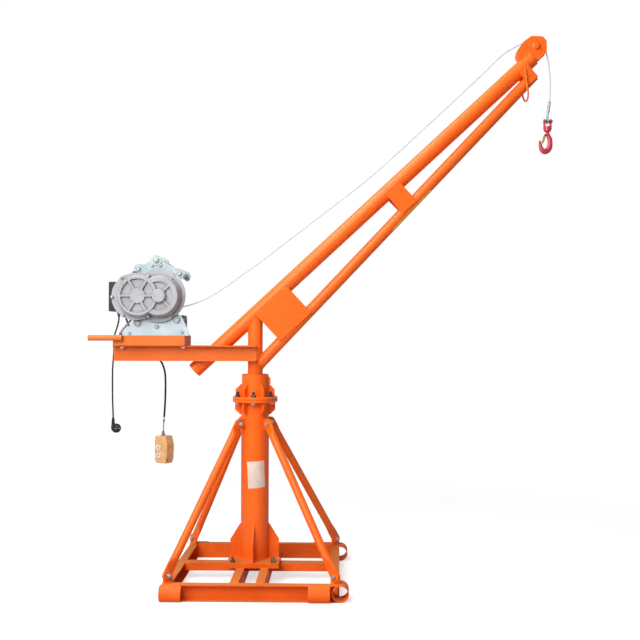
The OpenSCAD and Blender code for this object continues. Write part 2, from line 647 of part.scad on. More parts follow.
module pendant() color([0.78, 0.62, 0.42]) {
  translate([-486, 0, 736]) cylinder(r1 = 14, r2 = 6.5, h = 28, $fn = 32);
  translate(pendant_at) rotate([0, 0, -35]) {
    w = pendant_w / 2;
    xz_plate([[-w, 10], [10 - w, 0], [w - 8, 0], [w, 42], [w, 100], [w - 13, pendant_h],
      [8 - w, pendant_h], [-w, pendant_h - 10]], -pendant_d / 2, pendant_d / 2);
    for (z = [41, 81]) translate([-23, -pendant_d / 2 - 4, z - button / 2]) cube([button, 5, button]);
  }
}

// ---------- hook ----------
module at_yoke(x = 0, z = 0) { translate([yoke_x + x, 0, yoke_z + z]) children(); }
module hook_yoke() color(red) {
  difference() {
    union() {
      at_yoke(0, -53) cylinder(r = 19, h = 26);
      for (s = [-1, 1]) at_yoke(s * 16 - 4) {
        translate([0, -11, -46]) cube([8, 22, 46]);
        xcyl(13, 8);
      }
    }
    at_yoke(0, -58) cylinder(r = 8 + run, h = 40);
    at_yoke(0, -40) cylinder(r = 12.5, h = 40);
  }
  at_yoke(-21) xcyl(6, 42);
  for (x = [-25, 20]) at_yoke(x) xcyl(9, 5);
}
hook_line = [[0, -54], [1, -66], [6, -78], [12, -94], [14, -113], [11, -134], [2, -150],
  [-12, -158], [-26, -152], [-35, -137], [-38, -118], [-40, -100]];
hook_radii = [9, 9.5, 10.5, 12, 13, 14, 14.5, 14, 12.5, 10, 8, 5.5];
latch = [-13, -72];              // latch pin from the yoke pin
module hook() color(red) {
  at_yoke() sweep([for (p = hook_line) [p[0], 0, p[1]]], hook_radii, 16);
  at_yoke(0, -54) cylinder(r = 8, h = 14);
  at_yoke(0, -39.9) cylinder(r = 11.5, h = 9);
  at_yoke(latch[0], latch[1]) {
    for (y = [-9, 6.2]) {
      ycyl(5, y, y + 2.8);
      translate([0, y, -5]) cube([12, 2.8, 10]);
    }
    ycyl(2, -6.2, 6.2);
  }
}
module hook_latch() color([0.7, 0.62, 0.25]) at_yoke(latch[0], latch[1]) difference() {
  union() {
    ycyl(4.5, -6, 6);
    rotate([0, 16, 0]) translate([-1.5, -5, -46]) cube([3, 10, 43]);
  }
  ycyl(2 + run, -7, 7);
}

front_channel();
rear_channel();
left_channel();
right_channel();
inner_members();
side_sockets();
axle_sleeves();
strut_lugs();
seat_plate();
column_foot();
column_tube();
lower_flange();
upper_flange();
socket_tube();
slew_bushes();
front_struts();
rear_struts();
frame_bolts();
slew_post();
main_boom_tube();
lower_boom_tube();
boom_plates();
tip_plates();
head_cheeks();
sheave_pin();
tip_hoop();
winch_beams();
winch_seat();
push_handle();
foot_plates();
ear_plates();
tie_rods();
gear_case();
case_disc();
drum();
rope_winding();
motor();
control_box();
hoist_rope();
rope_end();
mains_cord();
mains_plug();
pendant_cord();
pendant();
head_sheave();
hook_yoke();
hook();
hook_latch();
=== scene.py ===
# %% [markdown]
# # A portable mini crane
# This notebook dresses a small slewing crane: a welded channel base, a braced column, a boom of two
# tubes and an electric hoist on its tail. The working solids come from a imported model, and the main
# places are read from that frame, so that the two stay together. Blender adds the paint, the ropes and
# cords, the welds and the small hardware.

# %% Load the frame
import math

import bmesh
import bpy
from mathutils import Matrix, Vector, noise


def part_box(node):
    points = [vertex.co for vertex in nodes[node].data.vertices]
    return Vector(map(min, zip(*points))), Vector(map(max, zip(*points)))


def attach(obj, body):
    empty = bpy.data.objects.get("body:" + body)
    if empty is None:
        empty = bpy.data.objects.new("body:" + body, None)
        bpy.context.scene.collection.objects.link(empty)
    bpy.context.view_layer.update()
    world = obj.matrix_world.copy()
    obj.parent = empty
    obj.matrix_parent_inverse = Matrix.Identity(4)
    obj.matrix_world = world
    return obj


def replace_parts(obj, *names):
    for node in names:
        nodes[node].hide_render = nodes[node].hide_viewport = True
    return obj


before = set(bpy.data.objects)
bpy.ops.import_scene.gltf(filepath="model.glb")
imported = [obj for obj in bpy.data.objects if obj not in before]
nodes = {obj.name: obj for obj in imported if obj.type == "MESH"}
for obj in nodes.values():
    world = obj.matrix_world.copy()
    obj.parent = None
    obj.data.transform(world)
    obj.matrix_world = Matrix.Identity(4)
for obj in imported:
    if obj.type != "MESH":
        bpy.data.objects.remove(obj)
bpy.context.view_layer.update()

# %% [markdown]
# ## Camera
# The crane is tall and thin, so it is seen from the side with a normal lens at about half its height.
# A camera could be aimed with a constraint, but a fixed matrix is simpler to read and never drifts.

# %% Camera
SENSOR_MM = 36.0
LENS_MM = 50.3
CAMERA_AT = Vector((0.440, -4.7145, 1.276))
YAW, PITCH, ROLL = math.radians(1.2), math.radians(0.92), math.radians(0.1)

camera_data = bpy.data.cameras.new("camera")
camera_data.sensor_width = SENSOR_MM
camera_data.lens = LENS_MM
camera = bpy.data.objects.new("camera", camera_data)
camera.matrix_world = (Matrix.Translation(CAMERA_AT) @ Matrix.Rotation(YAW, 4, "Z")
                       @ Matrix.Rotation(math.pi / 2 + PITCH, 4, "X") @ Matrix.Rotation(ROLL, 4, "Z"))
bpy.context.scene.collection.objects.link(camera)
bpy.context.scene.camera = camera
print("camera at", tuple(CAMERA_AT))

# %% [markdown]
# ## Measures shared by the pieces
# A few points of the frame come up again and again: the slew axis, the head pin, the drum axis and the
# boom's direction. They are worked out once, from the nodes' boxes where a node shows them.

# %% Shared measures
MM = 0.001


def middle(node):
    """The middle of a node's box."""
    low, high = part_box(node)
    return (low + high) / 2


def at(x, y, z):
    """A point given in millimetres."""
    return Vector((x, y, z)) * MM


X, Y, Z = Vector((1, 0, 0)), Vector((0, 1, 0)), Vector((0, 0, 1))
pin_at = middle("sheave_pin")
drum_at = middle("drum")
drum_at.y = 0.0
BOOM_ANGLE = math.radians(42.8)
BOOM_Z = 1.382
along = Vector((math.cos(BOOM_ANGLE), 0, math.sin(BOOM_ANGLE)))
across = Vector((-math.sin(BOOM_ANGLE), 0, math.cos(BOOM_ANGLE)))


def boom_point(reach, lift=0.0, side=0.0):
    """A point given along the main tube, square to it, and sideways."""
    return Vector((0, side, BOOM_Z)) + along * reach + across * lift


print("head pin", tuple(pin_at), "drum", tuple(drum_at))

# %% [markdown]
# ## A shape that grows
# Welds, bolts and ropes are all rings of points joined by faces. Blender's own primitives would do for
# one of them, but a small class that gathers points and faces lets one piece hold a whole row of bolts
# as a single clean mesh, and its edges are made sharp by their angle.

# %% Gathering points and faces
class Shape:
    """Points and faces gathered into one piece."""

    def __init__(self):
        self.points, self.faces = [], []

    def add(self, points, faces):
        start = len(self.points)
        self.points += [Vector(point) for point in points]
        self.faces += [tuple(start + i for i in face) for face in faces]

    def piece(self, name, body, finish, crease=35.0):
        """The finished object, riding on a body and wearing a finish."""
        mesh = bpy.data.meshes.new(name)
        mesh.from_pydata(self.points, [], self.faces)
        mesh.shade_smooth()
        mesh.set_sharp_from_angle(angle=math.radians(crease))
        mesh.materials.append(finish)
        made = bpy.data.objects.new(name, mesh)
        bpy.context.scene.collection.objects.link(made)
        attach(made, body)
        print(name, "on", body, "with", len(mesh.polygons), "faces")
        return made


def joined_rings(count, sides, closed=False):
    """The faces between equal rings that follow each other."""
    faces = []
    for ring in range(count if closed else count - 1):
        a, b = ring * sides, (ring + 1) % count * sides
        for k in range(sides):
            n = (k + 1) % sides
            faces.append((a + k, a + n, b + n, b + k))
    return faces


print("faces between two rings of four:", joined_rings(2, 4))

# %% [markdown]
# ## Turned parts
# Pins, washers, nuts and bosses are lathe work: an outline of radii and heights turned about an axis. A
# screw modifier could do it, but the points are few and this keeps the axis free to lean any way. Six
# sides instead of many make a hexagon with the same function.

# %% Turning an outline
def cross_directions(axis):
    """Two directions square to an axis and to each other."""
    axis = Vector(axis).normalized()
    near = Vector((0, 0, 1)) if abs(axis.z) < 0.9 else Vector((1, 0, 0))
    first = near.cross(axis).normalized()
    return first, axis.cross(first)


def turned(shape, base, axis, outline, sides=32, spin=0.0, closed=False):
    """Turn (radius, height) pairs, given in millimetres, about an axis."""
    axis = Vector(axis).normalized()
    first, second = cross_directions(axis)
    points = []
    for radius, height in outline:
        for k in range(sides):
            a = 2 * math.pi * k / sides + spin
            points.append(Vector(base) + axis * height * MM
                          + (first * math.cos(a) + second * math.sin(a)) * radius * MM)
    faces = joined_rings(len(outline), sides, closed)
    if not closed:
        faces.append(tuple(range(sides))[::-1])
        faces.append(tuple(range(len(points) - sides, len(points))))
    shape.add(points, faces)


CORNER_DEPTH, CORNER_SHARE = 1.6, 0.88


def hexagon(shape, base, axis, flats, height, spin=0.0):
    """A hexagon across its flats, with the corners of its far face broken."""
    corner = flats / 2 / math.cos(math.pi / 6)
    outline = [(corner, 0), (corner, height - CORNER_DEPTH), (corner * CORNER_SHARE, height)]
    turned(shape, base, axis, outline, 6, spin)


print("square to Z:", [tuple(side) for side in cross_directions(Z)])


# %% [markdown]
# ## Lines and tubes
# Ropes, cords and weld beads all follow a line. A curve object with a bevel could draw them, but a mesh
# tube can carry strands or ripples, so its radius is a function of the distance and of the angle. The
# cross directions are carried from ring to ring, so that the tube never twists.

# %% Smooth lines
def smooth_line(points, steps=8):
    """A curve that passes through every point."""
    line = []
    for i in range(len(points) - 1):
        a, b = points[max(i - 1, 0)], points[i]
        c, d = points[i + 1], points[min(i + 2, len(points) - 1)]
        for j in range(steps):
            t = j / steps
            line.append(0.5 * (2 * b + (c - a) * t + (2 * a - 5 * b + 4 * c - d) * t ** 2
                               + (3 * b - a - 3 * c + d) * t ** 3))
    return line + [points[-1]]


def length_of(line):
    """The length of a line of points."""
    return sum((b - a).length for a, b in zip(line, line[1:]))


def spaced(line, gap):
    """The same line with its points about a gap apart."""
    total = length_of(line)
    count = max(2, round(total / gap))
    wanted = [total * k / count for k in range(1, count)]
    made, gone = [line[0]], 0.0
    for a, b in zip(line, line[1:]):
        step = (b - a).length
        while wanted and wanted[0] <= gone + step:
            made.append(a.lerp(b, (wanted.pop(0) - gone) / step))
        gone += step
    return made + [line[-1]]


bend = smooth_line([Vector((0, 0, 0)), Vector((1, 0, 0)), Vector((1, 1, 0))])
print("a line round a corner:", round(length_of(bend), 3), "from", len(bend), "points")


# %% Tubes along a line
def tube(shape, line, radius, sides=12, closed=False):
    """A tube along a line; radius(distance, angle) is in metres."""
    points, gone = [], 0.0
    ahead = (line[1] - line[0]).normalized()
    side = cross_directions(ahead)[0]
    for i, point in enumerate(line):
        gone += (point - line[i - 1]).length if i else 0.0
        before = line[i - 1] if i or closed else line[0]
        after = line[(i + 1) % len(line)] if i + 1 < len(line) or closed else point
        ahead = (after - before).normalized()
        side = (side - ahead * side.dot(ahead)).normalized()
        up = ahead.cross(side)
        for k in range(sides):
            a = 2 * math.pi * k / sides
            points.append(point + (side * math.cos(a) + up * math.sin(a)) * radius(gone, a))
    faces = joined_rings(len(line), sides, closed)
    if not closed:
        faces.append(tuple(range(sides))[::-1])
        faces.append(tuple(range(len(points) - sides, len(points))))
    shape.add(points, faces)


trial = Shape()
tube(trial, bend, lambda distance, angle: 0.01)
print("a tube along it:", len(trial.faces), "faces")

# %% [markdown]
# ## Finishes
# Every finish is built from nodes on Blender's main shader. Noise in the object's own coordinates varies
# the colour and the roughness, and drives a fine bump, so nothing depends on an unwrapped map or slides
# when a part turns. Colours are written as a painter reads them, from 0 to 255, and turned into light.

# %% Colours
def colour(red, green, blue):
    """A screen colour as light."""
    def light(value):
        value /= 255
        return value / 12.92 if value <= 0.04045 else ((value + 0.055) / 1.055) ** 2.4
    return (light(red), light(green), light(blue), 1.0)


print("middle grey as light:", colour(128, 128, 128))

# %% [markdown]
# ## One recipe for a finish
# The same few nodes serve paint, metal, plastic and vinyl. The first noise mixes two tones, a finer one
# moves the roughness, and a third lifts a fine bump where the material has one. A number that is the same
# all over a surface is written on the shader itself.

# %% A finish from two tones
TONE_FROM, TONE_TO = 0.32, 0.68
ROUGH_FINER, ROUGH_DETAIL = 2.7, 3.0
BUMP_DEPTH, BUMP_DETAIL = 0.002, 2.0


def finish(name, tones, scale, rough, bump=(0.0, 100.0), detail=4.0, **shader_values):
    """A finish whose colour wanders between two tones and its roughness between two values."""
    made = bpy.data.materials.new(name)
    made.use_nodes = True
    tree = made.node_tree
    shader = tree.nodes["Principled BSDF"]
    place = tree.nodes.new("ShaderNodeTexCoord")

    def grain(size, depth):
        node = tree.nodes.new("ShaderNodeTexNoise")
        node.inputs["Scale"].default_value = size
        node.inputs["Detail"].default_value = depth
        tree.links.new(place.outputs["Object"], node.inputs["Vector"])
        return node

    wander = grain(scale, detail)
    ramp = tree.nodes.new("ShaderNodeValToRGB")
    first, second = ramp.color_ramp.elements
    first.position, second.position = TONE_FROM, TONE_TO
    first.color, second.color = tones
    tree.links.new(wander.outputs["Fac"], ramp.inputs["Fac"])
    tree.links.new(ramp.outputs["Color"], shader.inputs["Base Color"])
    spread = tree.nodes.new("ShaderNodeMapRange")
    spread.inputs["To Min"].default_value, spread.inputs["To Max"].default_value = rough
    tree.links.new(grain(scale * ROUGH_FINER, ROUGH_DETAIL).outputs["Fac"], spread.inputs["Value"])
    tree.links.new(spread.outputs["Result"], shader.inputs["Roughness"])
    if bump[0]:
        relief = tree.nodes.new("ShaderNodeBump")
        relief.inputs["Strength"].default_value = bump[0]
        relief.inputs["Distance"].default_value = BUMP_DEPTH
        tree.links.new(grain(bump[1], BUMP_DETAIL).outputs["Fac"], relief.inputs["Height"])
        tree.links.new(relief.outputs["Normal"], shader.inputs["Normal"])
    for socket, value in shader_values.items():
        shader.inputs[socket.replace("_", " ")].default_value = value
    print("finish:", name)
    return made


# %% [markdown]
# ## Painted shade in corners and on tops
# Corners of a casting are darkened as painted shade, where the soft studio light reaches them less,
# and faces that look up get a browner tone, also painted shade. Both are a second tone laid over the
# first: one where surfaces are close together, the other where they face the sky.

# %% Painted shade in corners and on tops
CORNER_SAMPLES = 16
UPWARD_SHADE_FROM = 0.75


def over_colour(made, tone, share_node, share_socket, strongest):
    """Lay a second tone over a finish where another node says so."""
    tree = made.node_tree
    shader = tree.nodes["Principled BSDF"]
    below = shader.inputs["Base Color"].links[0].from_socket
    amount = tree.nodes.new("ShaderNodeMapRange")
    amount.inputs["To Min"].default_value, amount.inputs["To Max"].default_value = strongest
    tree.links.new(share_node.outputs[share_socket], amount.inputs["Value"])
    layer = tree.nodes.new("ShaderNodeMixRGB")
    layer.inputs["Color2"].default_value = tone
    tree.links.new(amount.outputs["Result"], layer.inputs["Fac"])
    tree.links.new(below, layer.inputs["Color1"])
    tree.links.new(layer.outputs["Color"], shader.inputs["Base Color"])
    return amount


def painted_corner_shade(made, tone, reach, strongest):
    """Darken the corners with painted shade, where the soft light reaches less."""
    corner = made.node_tree.nodes.new("ShaderNodeAmbientOcclusion")
    corner.samples = CORNER_SAMPLES
    corner.inputs["Distance"].default_value = reach
    over_colour(made, tone, corner, "AO", (strongest, 0.0))


def upward_shade(made, tone, strongest):
    """Lay a browner tone, as painted shade, on the faces that look up."""
    tree = made.node_tree
    facing = tree.nodes.new("ShaderNodeNewGeometry")
    parts = tree.nodes.new("ShaderNodeSeparateXYZ")
    tree.links.new(facing.outputs["Normal"], parts.inputs["Vector"])
    amount = over_colour(made, tone, parts, "Z", (0.0, strongest))
    amount.inputs["From Min"].default_value = UPWARD_SHADE_FROM


print("dust begins at a slope of", round(math.degrees(math.acos(UPWARD_SHADE_FROM))), "degrees")

# %% [markdown]
# ## Paint
# The steelwork is sprayed in one bright orange enamel. Enamel has a glossy skin over its colour, so the
# shader gets a coat of its own above a slightly uneven base. A plain glossy shader would look like
# plastic, because its colour would shine as much as its skin does. Saturated orange also throws its own
# red light back from paint to paint, and a trace of emission stands for what the lamps' few bounces lose.

# %% Paint finishes
WARM_GLOW = (1.0, 0.03, 0.0, 1.0)
orange_paint = finish("orange_paint", (colour(246, 106, 24), colour(243, 99, 20)), 4.0, (0.24, 0.34),
                      Specular_IOR_Level=0.0, Coat_Weight=0.5, Coat_Roughness=0.34,
                      Emission_Color=WARM_GLOW, Emission_Strength=0.03)
top_shaded_paint = finish("top_shaded_paint", (colour(244, 106, 36), colour(230, 97, 31)), 9.0, (0.34, 0.46),
                     Specular_IOR_Level=0.0, Coat_Weight=0.12, Coat_Roughness=0.2,
                     Emission_Color=WARM_GLOW, Emission_Strength=0.02)
# Painted shade: a browner, darker tone on the upward faces of the frame's paint.
upward_shade(top_shaded_paint, colour(190, 122, 62), 0.75)
# Painted reflection: the beams, seat and handle wear a paler, less saturated orange that stands for the
# white studio mirrored in their gloss.
painted_sheen_orange = finish("painted_sheen_orange", (colour(230, 124, 64), colour(222, 114, 54)), 5.0, (0.3, 0.4),
                    Specular_IOR_Level=0.0, Coat_Weight=0.14, Coat_Roughness=0.16)
red_paint = finish("red_paint", (colour(192, 8, 52), colour(164, 6, 42)), 30.0, (0.3, 0.45),
                   (0.05, 90.0), Coat_Weight=0.3, Coat_Roughness=0.15)

# %% [markdown]
# ## Bare and plated metals
# The hoist hangs between zinc-plated plates with a cold, bluish shine, its gear covers are die-cast
# aluminium, and the rope is bright wire. They differ in tone, in roughness and in the size of their
# grain, so each is the same recipe with its own numbers. The rope's strands catch the light from every
# side, which so thin a piece can't show by itself, so its wire glows a little.

# %% Metal finishes
zinc_plate = finish("zinc_plate", (colour(170, 180, 184), colour(148, 160, 165)), 9.0, (0.34, 0.5),
                    (0.04, 60.0), Metallic=0.5)
bright_bolt = finish("bright_bolt", (colour(164, 168, 168), colour(134, 138, 140)), 60.0, (0.35, 0.5),
                     Metallic=0.35)
dark_bolt = finish("dark_bolt", (colour(84, 86, 84), colour(48, 46, 44)), 50.0, (0.35, 0.55),
                   Metallic=0.6)
brown_bolt = finish("brown_bolt", (colour(140, 104, 66), colour(92, 62, 38)), 50.0, (0.35, 0.55),
                    Metallic=0.5)
cast_metal = finish("cast_metal", (colour(160, 160, 164), colour(146, 146, 150)), 14.0, (0.45, 0.6),
                    (0.05, 160.0), Metallic=0.1)
# Painted shade: the corners and crevices of the castings and the zinc plates are darkened.
painted_corner_shade(cast_metal, colour(86, 84, 84), reach=0.016, strongest=0.75)
painted_corner_shade(zinc_plate, colour(96, 102, 104), reach=0.012, strongest=0.7)
ear_metal = finish("ear_metal", (colour(160, 173, 175), colour(140, 155, 159)), 12.0, (0.4, 0.55),
                   (0.04, 60.0), Metallic=0.25)
steel_wire = finish("steel_wire", (colour(160, 170, 188), colour(146, 158, 178)), 120.0, (0.4, 0.55),
                    Emission_Color=colour(205, 215, 228), Emission_Strength=0.38)
sleeve_metal = finish("sleeve_metal", (colour(160, 168, 176), colour(134, 144, 152)), 60.0, (0.35, 0.5),
                      Metallic=0.3)
bronze = finish("bronze", (colour(176, 130, 64), colour(140, 98, 46)), 30.0, (0.3, 0.5), Metallic=0.9)
brass = finish("brass", (colour(166, 148, 62), colour(132, 116, 46)), 80.0, (0.3, 0.45), Metallic=0.4)

# %% [markdown]
# ## Plastics, rubber, film and stickers
# The cords and the control box are black plastic, and the push-button box still wears its brown
# packing film. The sticker on the column and the strip on the boom are plain vinyl.

# %% Plastic finishes
black_plastic = finish("black_plastic", (colour(30, 29, 33), colour(20, 19, 23)), 25.0, (0.4, 0.55),
                       (0.04, 200.0), Specular_IOR_Level=0.3)
black_cord = finish("black_cord", (colour(26, 24, 30), colour(16, 15, 20)), 60.0, (0.38, 0.5),
                    (0.04, 200.0), Specular_IOR_Level=0.15)
grey_wire = finish("grey_wire", (colour(150, 148, 158), colour(122, 120, 132)), 90.0, (0.4, 0.5))
boot_rubber = finish("boot_rubber", (colour(96, 94, 102), colour(70, 68, 78)), 60.0, (0.5, 0.6))
pale_plastic = finish("pale_plastic", (colour(216, 210, 200), colour(196, 190, 182)), 40.0, (0.35, 0.5))
# Painted light: the film's faint emission brightens its shaded side.
packing_film = finish("packing_film", (colour(208, 158, 104), colour(190, 138, 84)), 40.0, (0.3, 0.45),
                      (0.12, 90.0), 3.0, Coat_Weight=0.3, Coat_Roughness=0.2,
                      Emission_Color=colour(205, 150, 100), Emission_Strength=0.16)
white_vinyl = finish("white_vinyl", (colour(228, 208, 194), colour(214, 192, 178)), 20.0, (0.35, 0.5))
yellow_vinyl = finish("yellow_vinyl", (colour(248, 200, 60), colour(238, 184, 48)), 12.0, (0.3, 0.45))

# %% [markdown]
# ## The hoist rope
# The rope leaves the drum, rises in a slack line beside the boom, rolls over the head sheave and drops
# to the hook. It could be a smooth tube, but wire rope shows six strands laid in a helix, so the
# radius ripples six times around and the ripple turns as the rope runs. Its points are the ones that its
# solid follows.

# %% Hoist rope
ROPE_D = 0.008
ROPE_LAY = 0.042
STRANDS, STRAND_MEAN, STRAND_DEPTH = 6, 0.988, 0.024
rope_points = [at(*p) for p in (
    (-488, 0, 1399), (-470, 0, 1400), (-430, 0, 1409), (-376, 0, 1423), (-326, 0, 1437),
    (-256, 0, 1468), (-185, 0, 1509), (-81, 0, 1583), (40, 0, 1670), (320, 0, 1885),
    (605, 0, 2107), (900, 0, 2374), (1185, 0, 2640), (1292, 0, 2744), (1363, 0, 2791),
    (1411, 0, 2814))]
SHEAVE_TRACK = 0.0416
sheave_angles = [math.radians(104 - 9.25 * k) for k in range(9)]
rope_points += [pin_at + Vector((math.cos(a), 0, math.sin(a))) * SHEAVE_TRACK for a in sheave_angles]
rope_points += [at(*p) for p in ((1524, 0, 2785), (1531, 0, 2764), (1541, 0, 2720), (1547, 0, 2680),
                                 (1550, 0, 2644), (1552, 0, 2600), (1551, 0, 2556), (1548, 0, 2503))]


def strand_radius(distance, angle):
    """Six strands that turn once in a lay."""
    turn = angle - 2 * math.pi * distance / ROPE_LAY
    return ROPE_D / 2 * (STRAND_MEAN + STRAND_DEPTH * math.cos(STRANDS * turn))


rope_line = spaced(smooth_line(rope_points), 0.004)
rope_shape = Shape()
tube(rope_shape, rope_line, strand_radius, 18)
hoist_rope = rope_shape.piece("hoist_rope_strands", "upper", steel_wire, 60)
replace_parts(hoist_rope, "hoist_rope")

# %% [markdown]
# ## The two black cords
# The mains lead hangs from the control box behind the seat, and the control cord crosses to the middle
# of the beams before it drops to its push-button box. Both are round rubber cords in easy curves, so a
# smooth tube along the route's own points is enough.

# %% Routes of the two cords
MAINS_D, CONTROL_D = 0.008, 0.010
mains_points = [at(*p) for p in (
    (-707, -70, 1365), (-708, -69, 1350), (-712, -67, 1330), (-719, -63, 1308), (-727, -58, 1288),
    (-735, -50, 1267), (-740, -41, 1245), (-742, -33, 1220), (-743, -29, 1190), (-745, -28, 1160),
    (-747, -28, 1130), (-749, -30, 1090), (-749, -32, 1040), (-748, -34, 980), (-746, -37, 920),
    (-743, -40, 870), (-742, -40, 838))]
control_points = [at(*p) for p in (
    (-680, -45, 1381), (-677, -40, 1360), (-668, -32, 1330), (-654, -24, 1300), (-635, -16, 1270),
    (-611, -9, 1238), (-580, -4, 1205), (-547, -1, 1177), (-517, 0, 1152), (-496, 0, 1125),
    (-482, 0, 1090), (-476, 0, 1050), (-475, 0, 980), (-477, 0, 910), (-481, 0, 845),
    (-486, 0, 764))]
print("route points:", len(mains_points), "and", len(control_points))

# %% Mains lead and control cord
JACKET_LENGTH, CORE_D = 0.618, 0.003


def round_cord(name, points, radius, stands_for):
    """A smooth round cord along its points, and the line that it follows."""
    line = spaced(smooth_line(points), 0.005)
    shape = Shape()
    tube(shape, line, radius, 16)
    cord = shape.piece(name, "upper", black_cord, 60)
    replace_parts(cord, stands_for)
    print(name, round(length_of(line), 3), "m")
    return cord, line


def jacket_radius(distance, angle):
    """The jacket's radius, and the core's below the place where the jacket is cut back."""
    return CONTROL_D / 2 if distance < JACKET_LENGTH else CORE_D / 2


mains_cord, mains_line = round_cord("mains_lead", mains_points, lambda distance, angle: MAINS_D / 2,
                                    "mains_cord")
control_cord, control_line = round_cord("control_lead", control_points, jacket_radius, "pendant_cord")

# %% [markdown]
# ## The bared end of the control cord
# Near the box the cord's jacket ends in a pale collar and a dark crimp, and three thin grey wires go on,
# twisted round each other. One grey tube would look like a thinner cord, so each wire is a tube of its
# own that circles the cord's middle line.

# %% Wires, collar and crimp
WIRES_BELOW_Z, WIRE_R, WIRE_OUT, WIRE_TWIST = 0.836, 0.0014, 0.0022, 34
core_line = [point for point in control_line if point.z < WIRES_BELOW_Z]
core_sides = cross_directions(Z)
cores = Shape()
for first in (0, 120, 240):
    wire = []
    for k, point in enumerate(core_line):
        a = math.radians(first + WIRE_TWIST * k)
        wire.append(point + (core_sides[0] * math.cos(a) + core_sides[1] * math.sin(a)) * WIRE_OUT)
    tube(cores, wire, lambda distance, angle: WIRE_R, 8)
control_cores = cores.piece("control_wires", "upper", grey_wire, 60)
collar, crimp = Shape(), Shape()
turned(collar, at(-481.5, 0, 828), Z, [(5.2, 0), (5.8, 1), (5.8, 9), (5.2, 10)], 24)
turned(crimp, at(-482.5, 0, 812), Z, [(3.6, 0), (4.4, 3), (4.4, 10), (3.6, 14)], 24)
control_collar = collar.piece("jacket_collar", "upper", white_vinyl, 40)
control_crimp = crimp.piece("wire_crimp", "upper", dark_bolt, 40)

# %% [markdown]
# ## Struts
# The four struts are tubes whose ends are pressed flat for their bolts. Cutting and welding plates onto
# a tube would give a hard step, so each strut is a loft: rings that change from a round section to a
# flat one, and close in a half round at each end.

# %% Where the struts are bolted
STRUT_R, STRUT_FLAT, STRUT_PLATE = 0.020, 0.026, 0.008
TOP_PIN_R, TOP_PIN_Z = 0.107, 0.810
FOOT_MIDDLE, FOOT_X, FOOT_Y, FOOT_PIN_Z = 0.020, 0.405, 0.400, 0.112
CORNERS = [(x, y) for x in (-1, 1) for y in (-1, 1)]


def strut_pins(x, y):
    """The bolts at the top and the foot of the strut at one corner."""
    reach = TOP_PIN_R * math.cos(math.pi / 4)
    return (Vector((x * reach, y * reach, TOP_PIN_Z)),
            Vector((FOOT_MIDDLE + x * FOOT_X, y * FOOT_Y, FOOT_PIN_Z)))


def strut_side(x, y):
    """The level direction square to the strut's plates."""
    top, foot = strut_pins(x, y)
    return Z.cross(Vector((foot.x - top.x, foot.y - top.y, 0)).normalized())


for x, y in CORNERS:
    top, foot = strut_pins(x, y)
    print("strut", x, y, "is", round((foot - top).length, 3), "m between its bolts")

# %% Section of a strut
TOP_PRESS, TOP_ROUND = 0.024, 0.075
FOOT_PRESS, FOOT_ROUND = 0.044, 0.110
FLAT_POWER = 0.3


def eased(share):
    """A share from 0 to 1 that starts and ends gently."""
    share = min(max(share, 0), 1)
    return share * share * (3 - 2 * share)


def strut_section(place, length):
    """Half width, half thickness and roundness at a place along the strut."""
    inside = min(place, length - place)
    press, blend_to = (TOP_PRESS, TOP_ROUND) if place < length / 2 else (FOOT_PRESS, FOOT_ROUND)
    round_share = eased((inside - press) / (blend_to - press))
    width = STRUT_FLAT + (STRUT_R - STRUT_FLAT) * round_share
    if inside < 0:
        width = math.sqrt(max(STRUT_FLAT ** 2 - inside ** 2, 1e-7))
    thick = STRUT_PLATE / 2 + (STRUT_R - STRUT_PLATE / 2) * round_share
    return width, thick, FLAT_POWER + (1 - FLAT_POWER) * round_share


print("half width and thickness at a flat:", strut_section(0.01, 1.0)[:2])

# %% Struts
BLEND_RINGS = 8


def strut_rings(press, blend_to):
    """Where the rings of one end lie: round the bolt, over the flat and up to the round tube."""
    end = [-STRUT_FLAT * math.cos(math.radians(a)) for a in range(0, 91, 15)]
    blend = [press + (blend_to - press) * k / BLEND_RINGS for k in range(1, BLEND_RINGS + 1)]
    return end + [press / 2, press] + blend


def strut(shape, x, y, sides=32):
    """One strut between its two bolts."""
    top, foot = strut_pins(x, y)
    length, ahead, side = (foot - top).length, (foot - top).normalized(), strut_side(x, y)
    up = ahead.cross(side)
    near = strut_rings(TOP_PRESS, TOP_ROUND)
    far = strut_rings(FOOT_PRESS, FOOT_ROUND)
    points = []
    for place in near + [length - s for s in reversed(far)]:
        width, thick, power = strut_section(place, length)
        for k in range(sides):
            a = 2 * math.pi * k / sides
            c, s = math.cos(a), math.sin(a)
            points.append(top + ahead * place - side * STRUT_PLATE / 2
                          + up * width * math.copysign(abs(c) ** power, c)
                          + side * thick * math.copysign(abs(s) ** power, s))
    faces = joined_rings(len(points) // sides, sides)
    faces += [tuple(range(sides))[::-1], tuple(range(len(points) - sides, len(points)))]
    shape.add(points, faces)


for row, y in (("front", -1), ("rear", 1)):
    pair = Shape()
    strut(pair, -1, y)
    strut(pair, 1, y)
    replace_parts(pair.piece(row + "_strut_tubes", "base", orange_paint, 28), row + "_struts")

# %% [markdown]
# ## Bolts
# The frame is held by M16 bolts in three looks: rusty ones at the column's foot, dark studs and nuts with
# pale heads at the flange, and pale ones at the strut lugs. Each is a chamfered head, a washer, a
# chamfered nut and a stub of thread, so one function sets them all, and the looks are gathered by finish.

# %% Washers, threads and bolts
M16_R, M16_HEAD, M16_NUT, M16_FLATS = 8, 10.0, 13.0, 24.0
WASHER_T, RIM = 2.5, 0.5
WASHER_SHARE, NUT_TURN = 0.62, 0.4


def washer(shape, base, axis, radius, thick=WASHER_T):
    """A washer with both rims broken."""
    inner = radius - 0.6
    turned(shape, base, axis, [(inner, 0), (radius, RIM), (radius, thick - RIM), (inner, thick)])


def thread(shape, base, axis, radius, length, pitch=2.0):
    """A stub of thread as a row of ridges with a chamfered tip."""
    turns = int(length / pitch)
    outline = [(radius - 0.9 * (k % 2), k * pitch / 2) for k in range(2 * turns)]
    turned(shape, base, axis, outline + [(radius - 1.6, length)], 20)


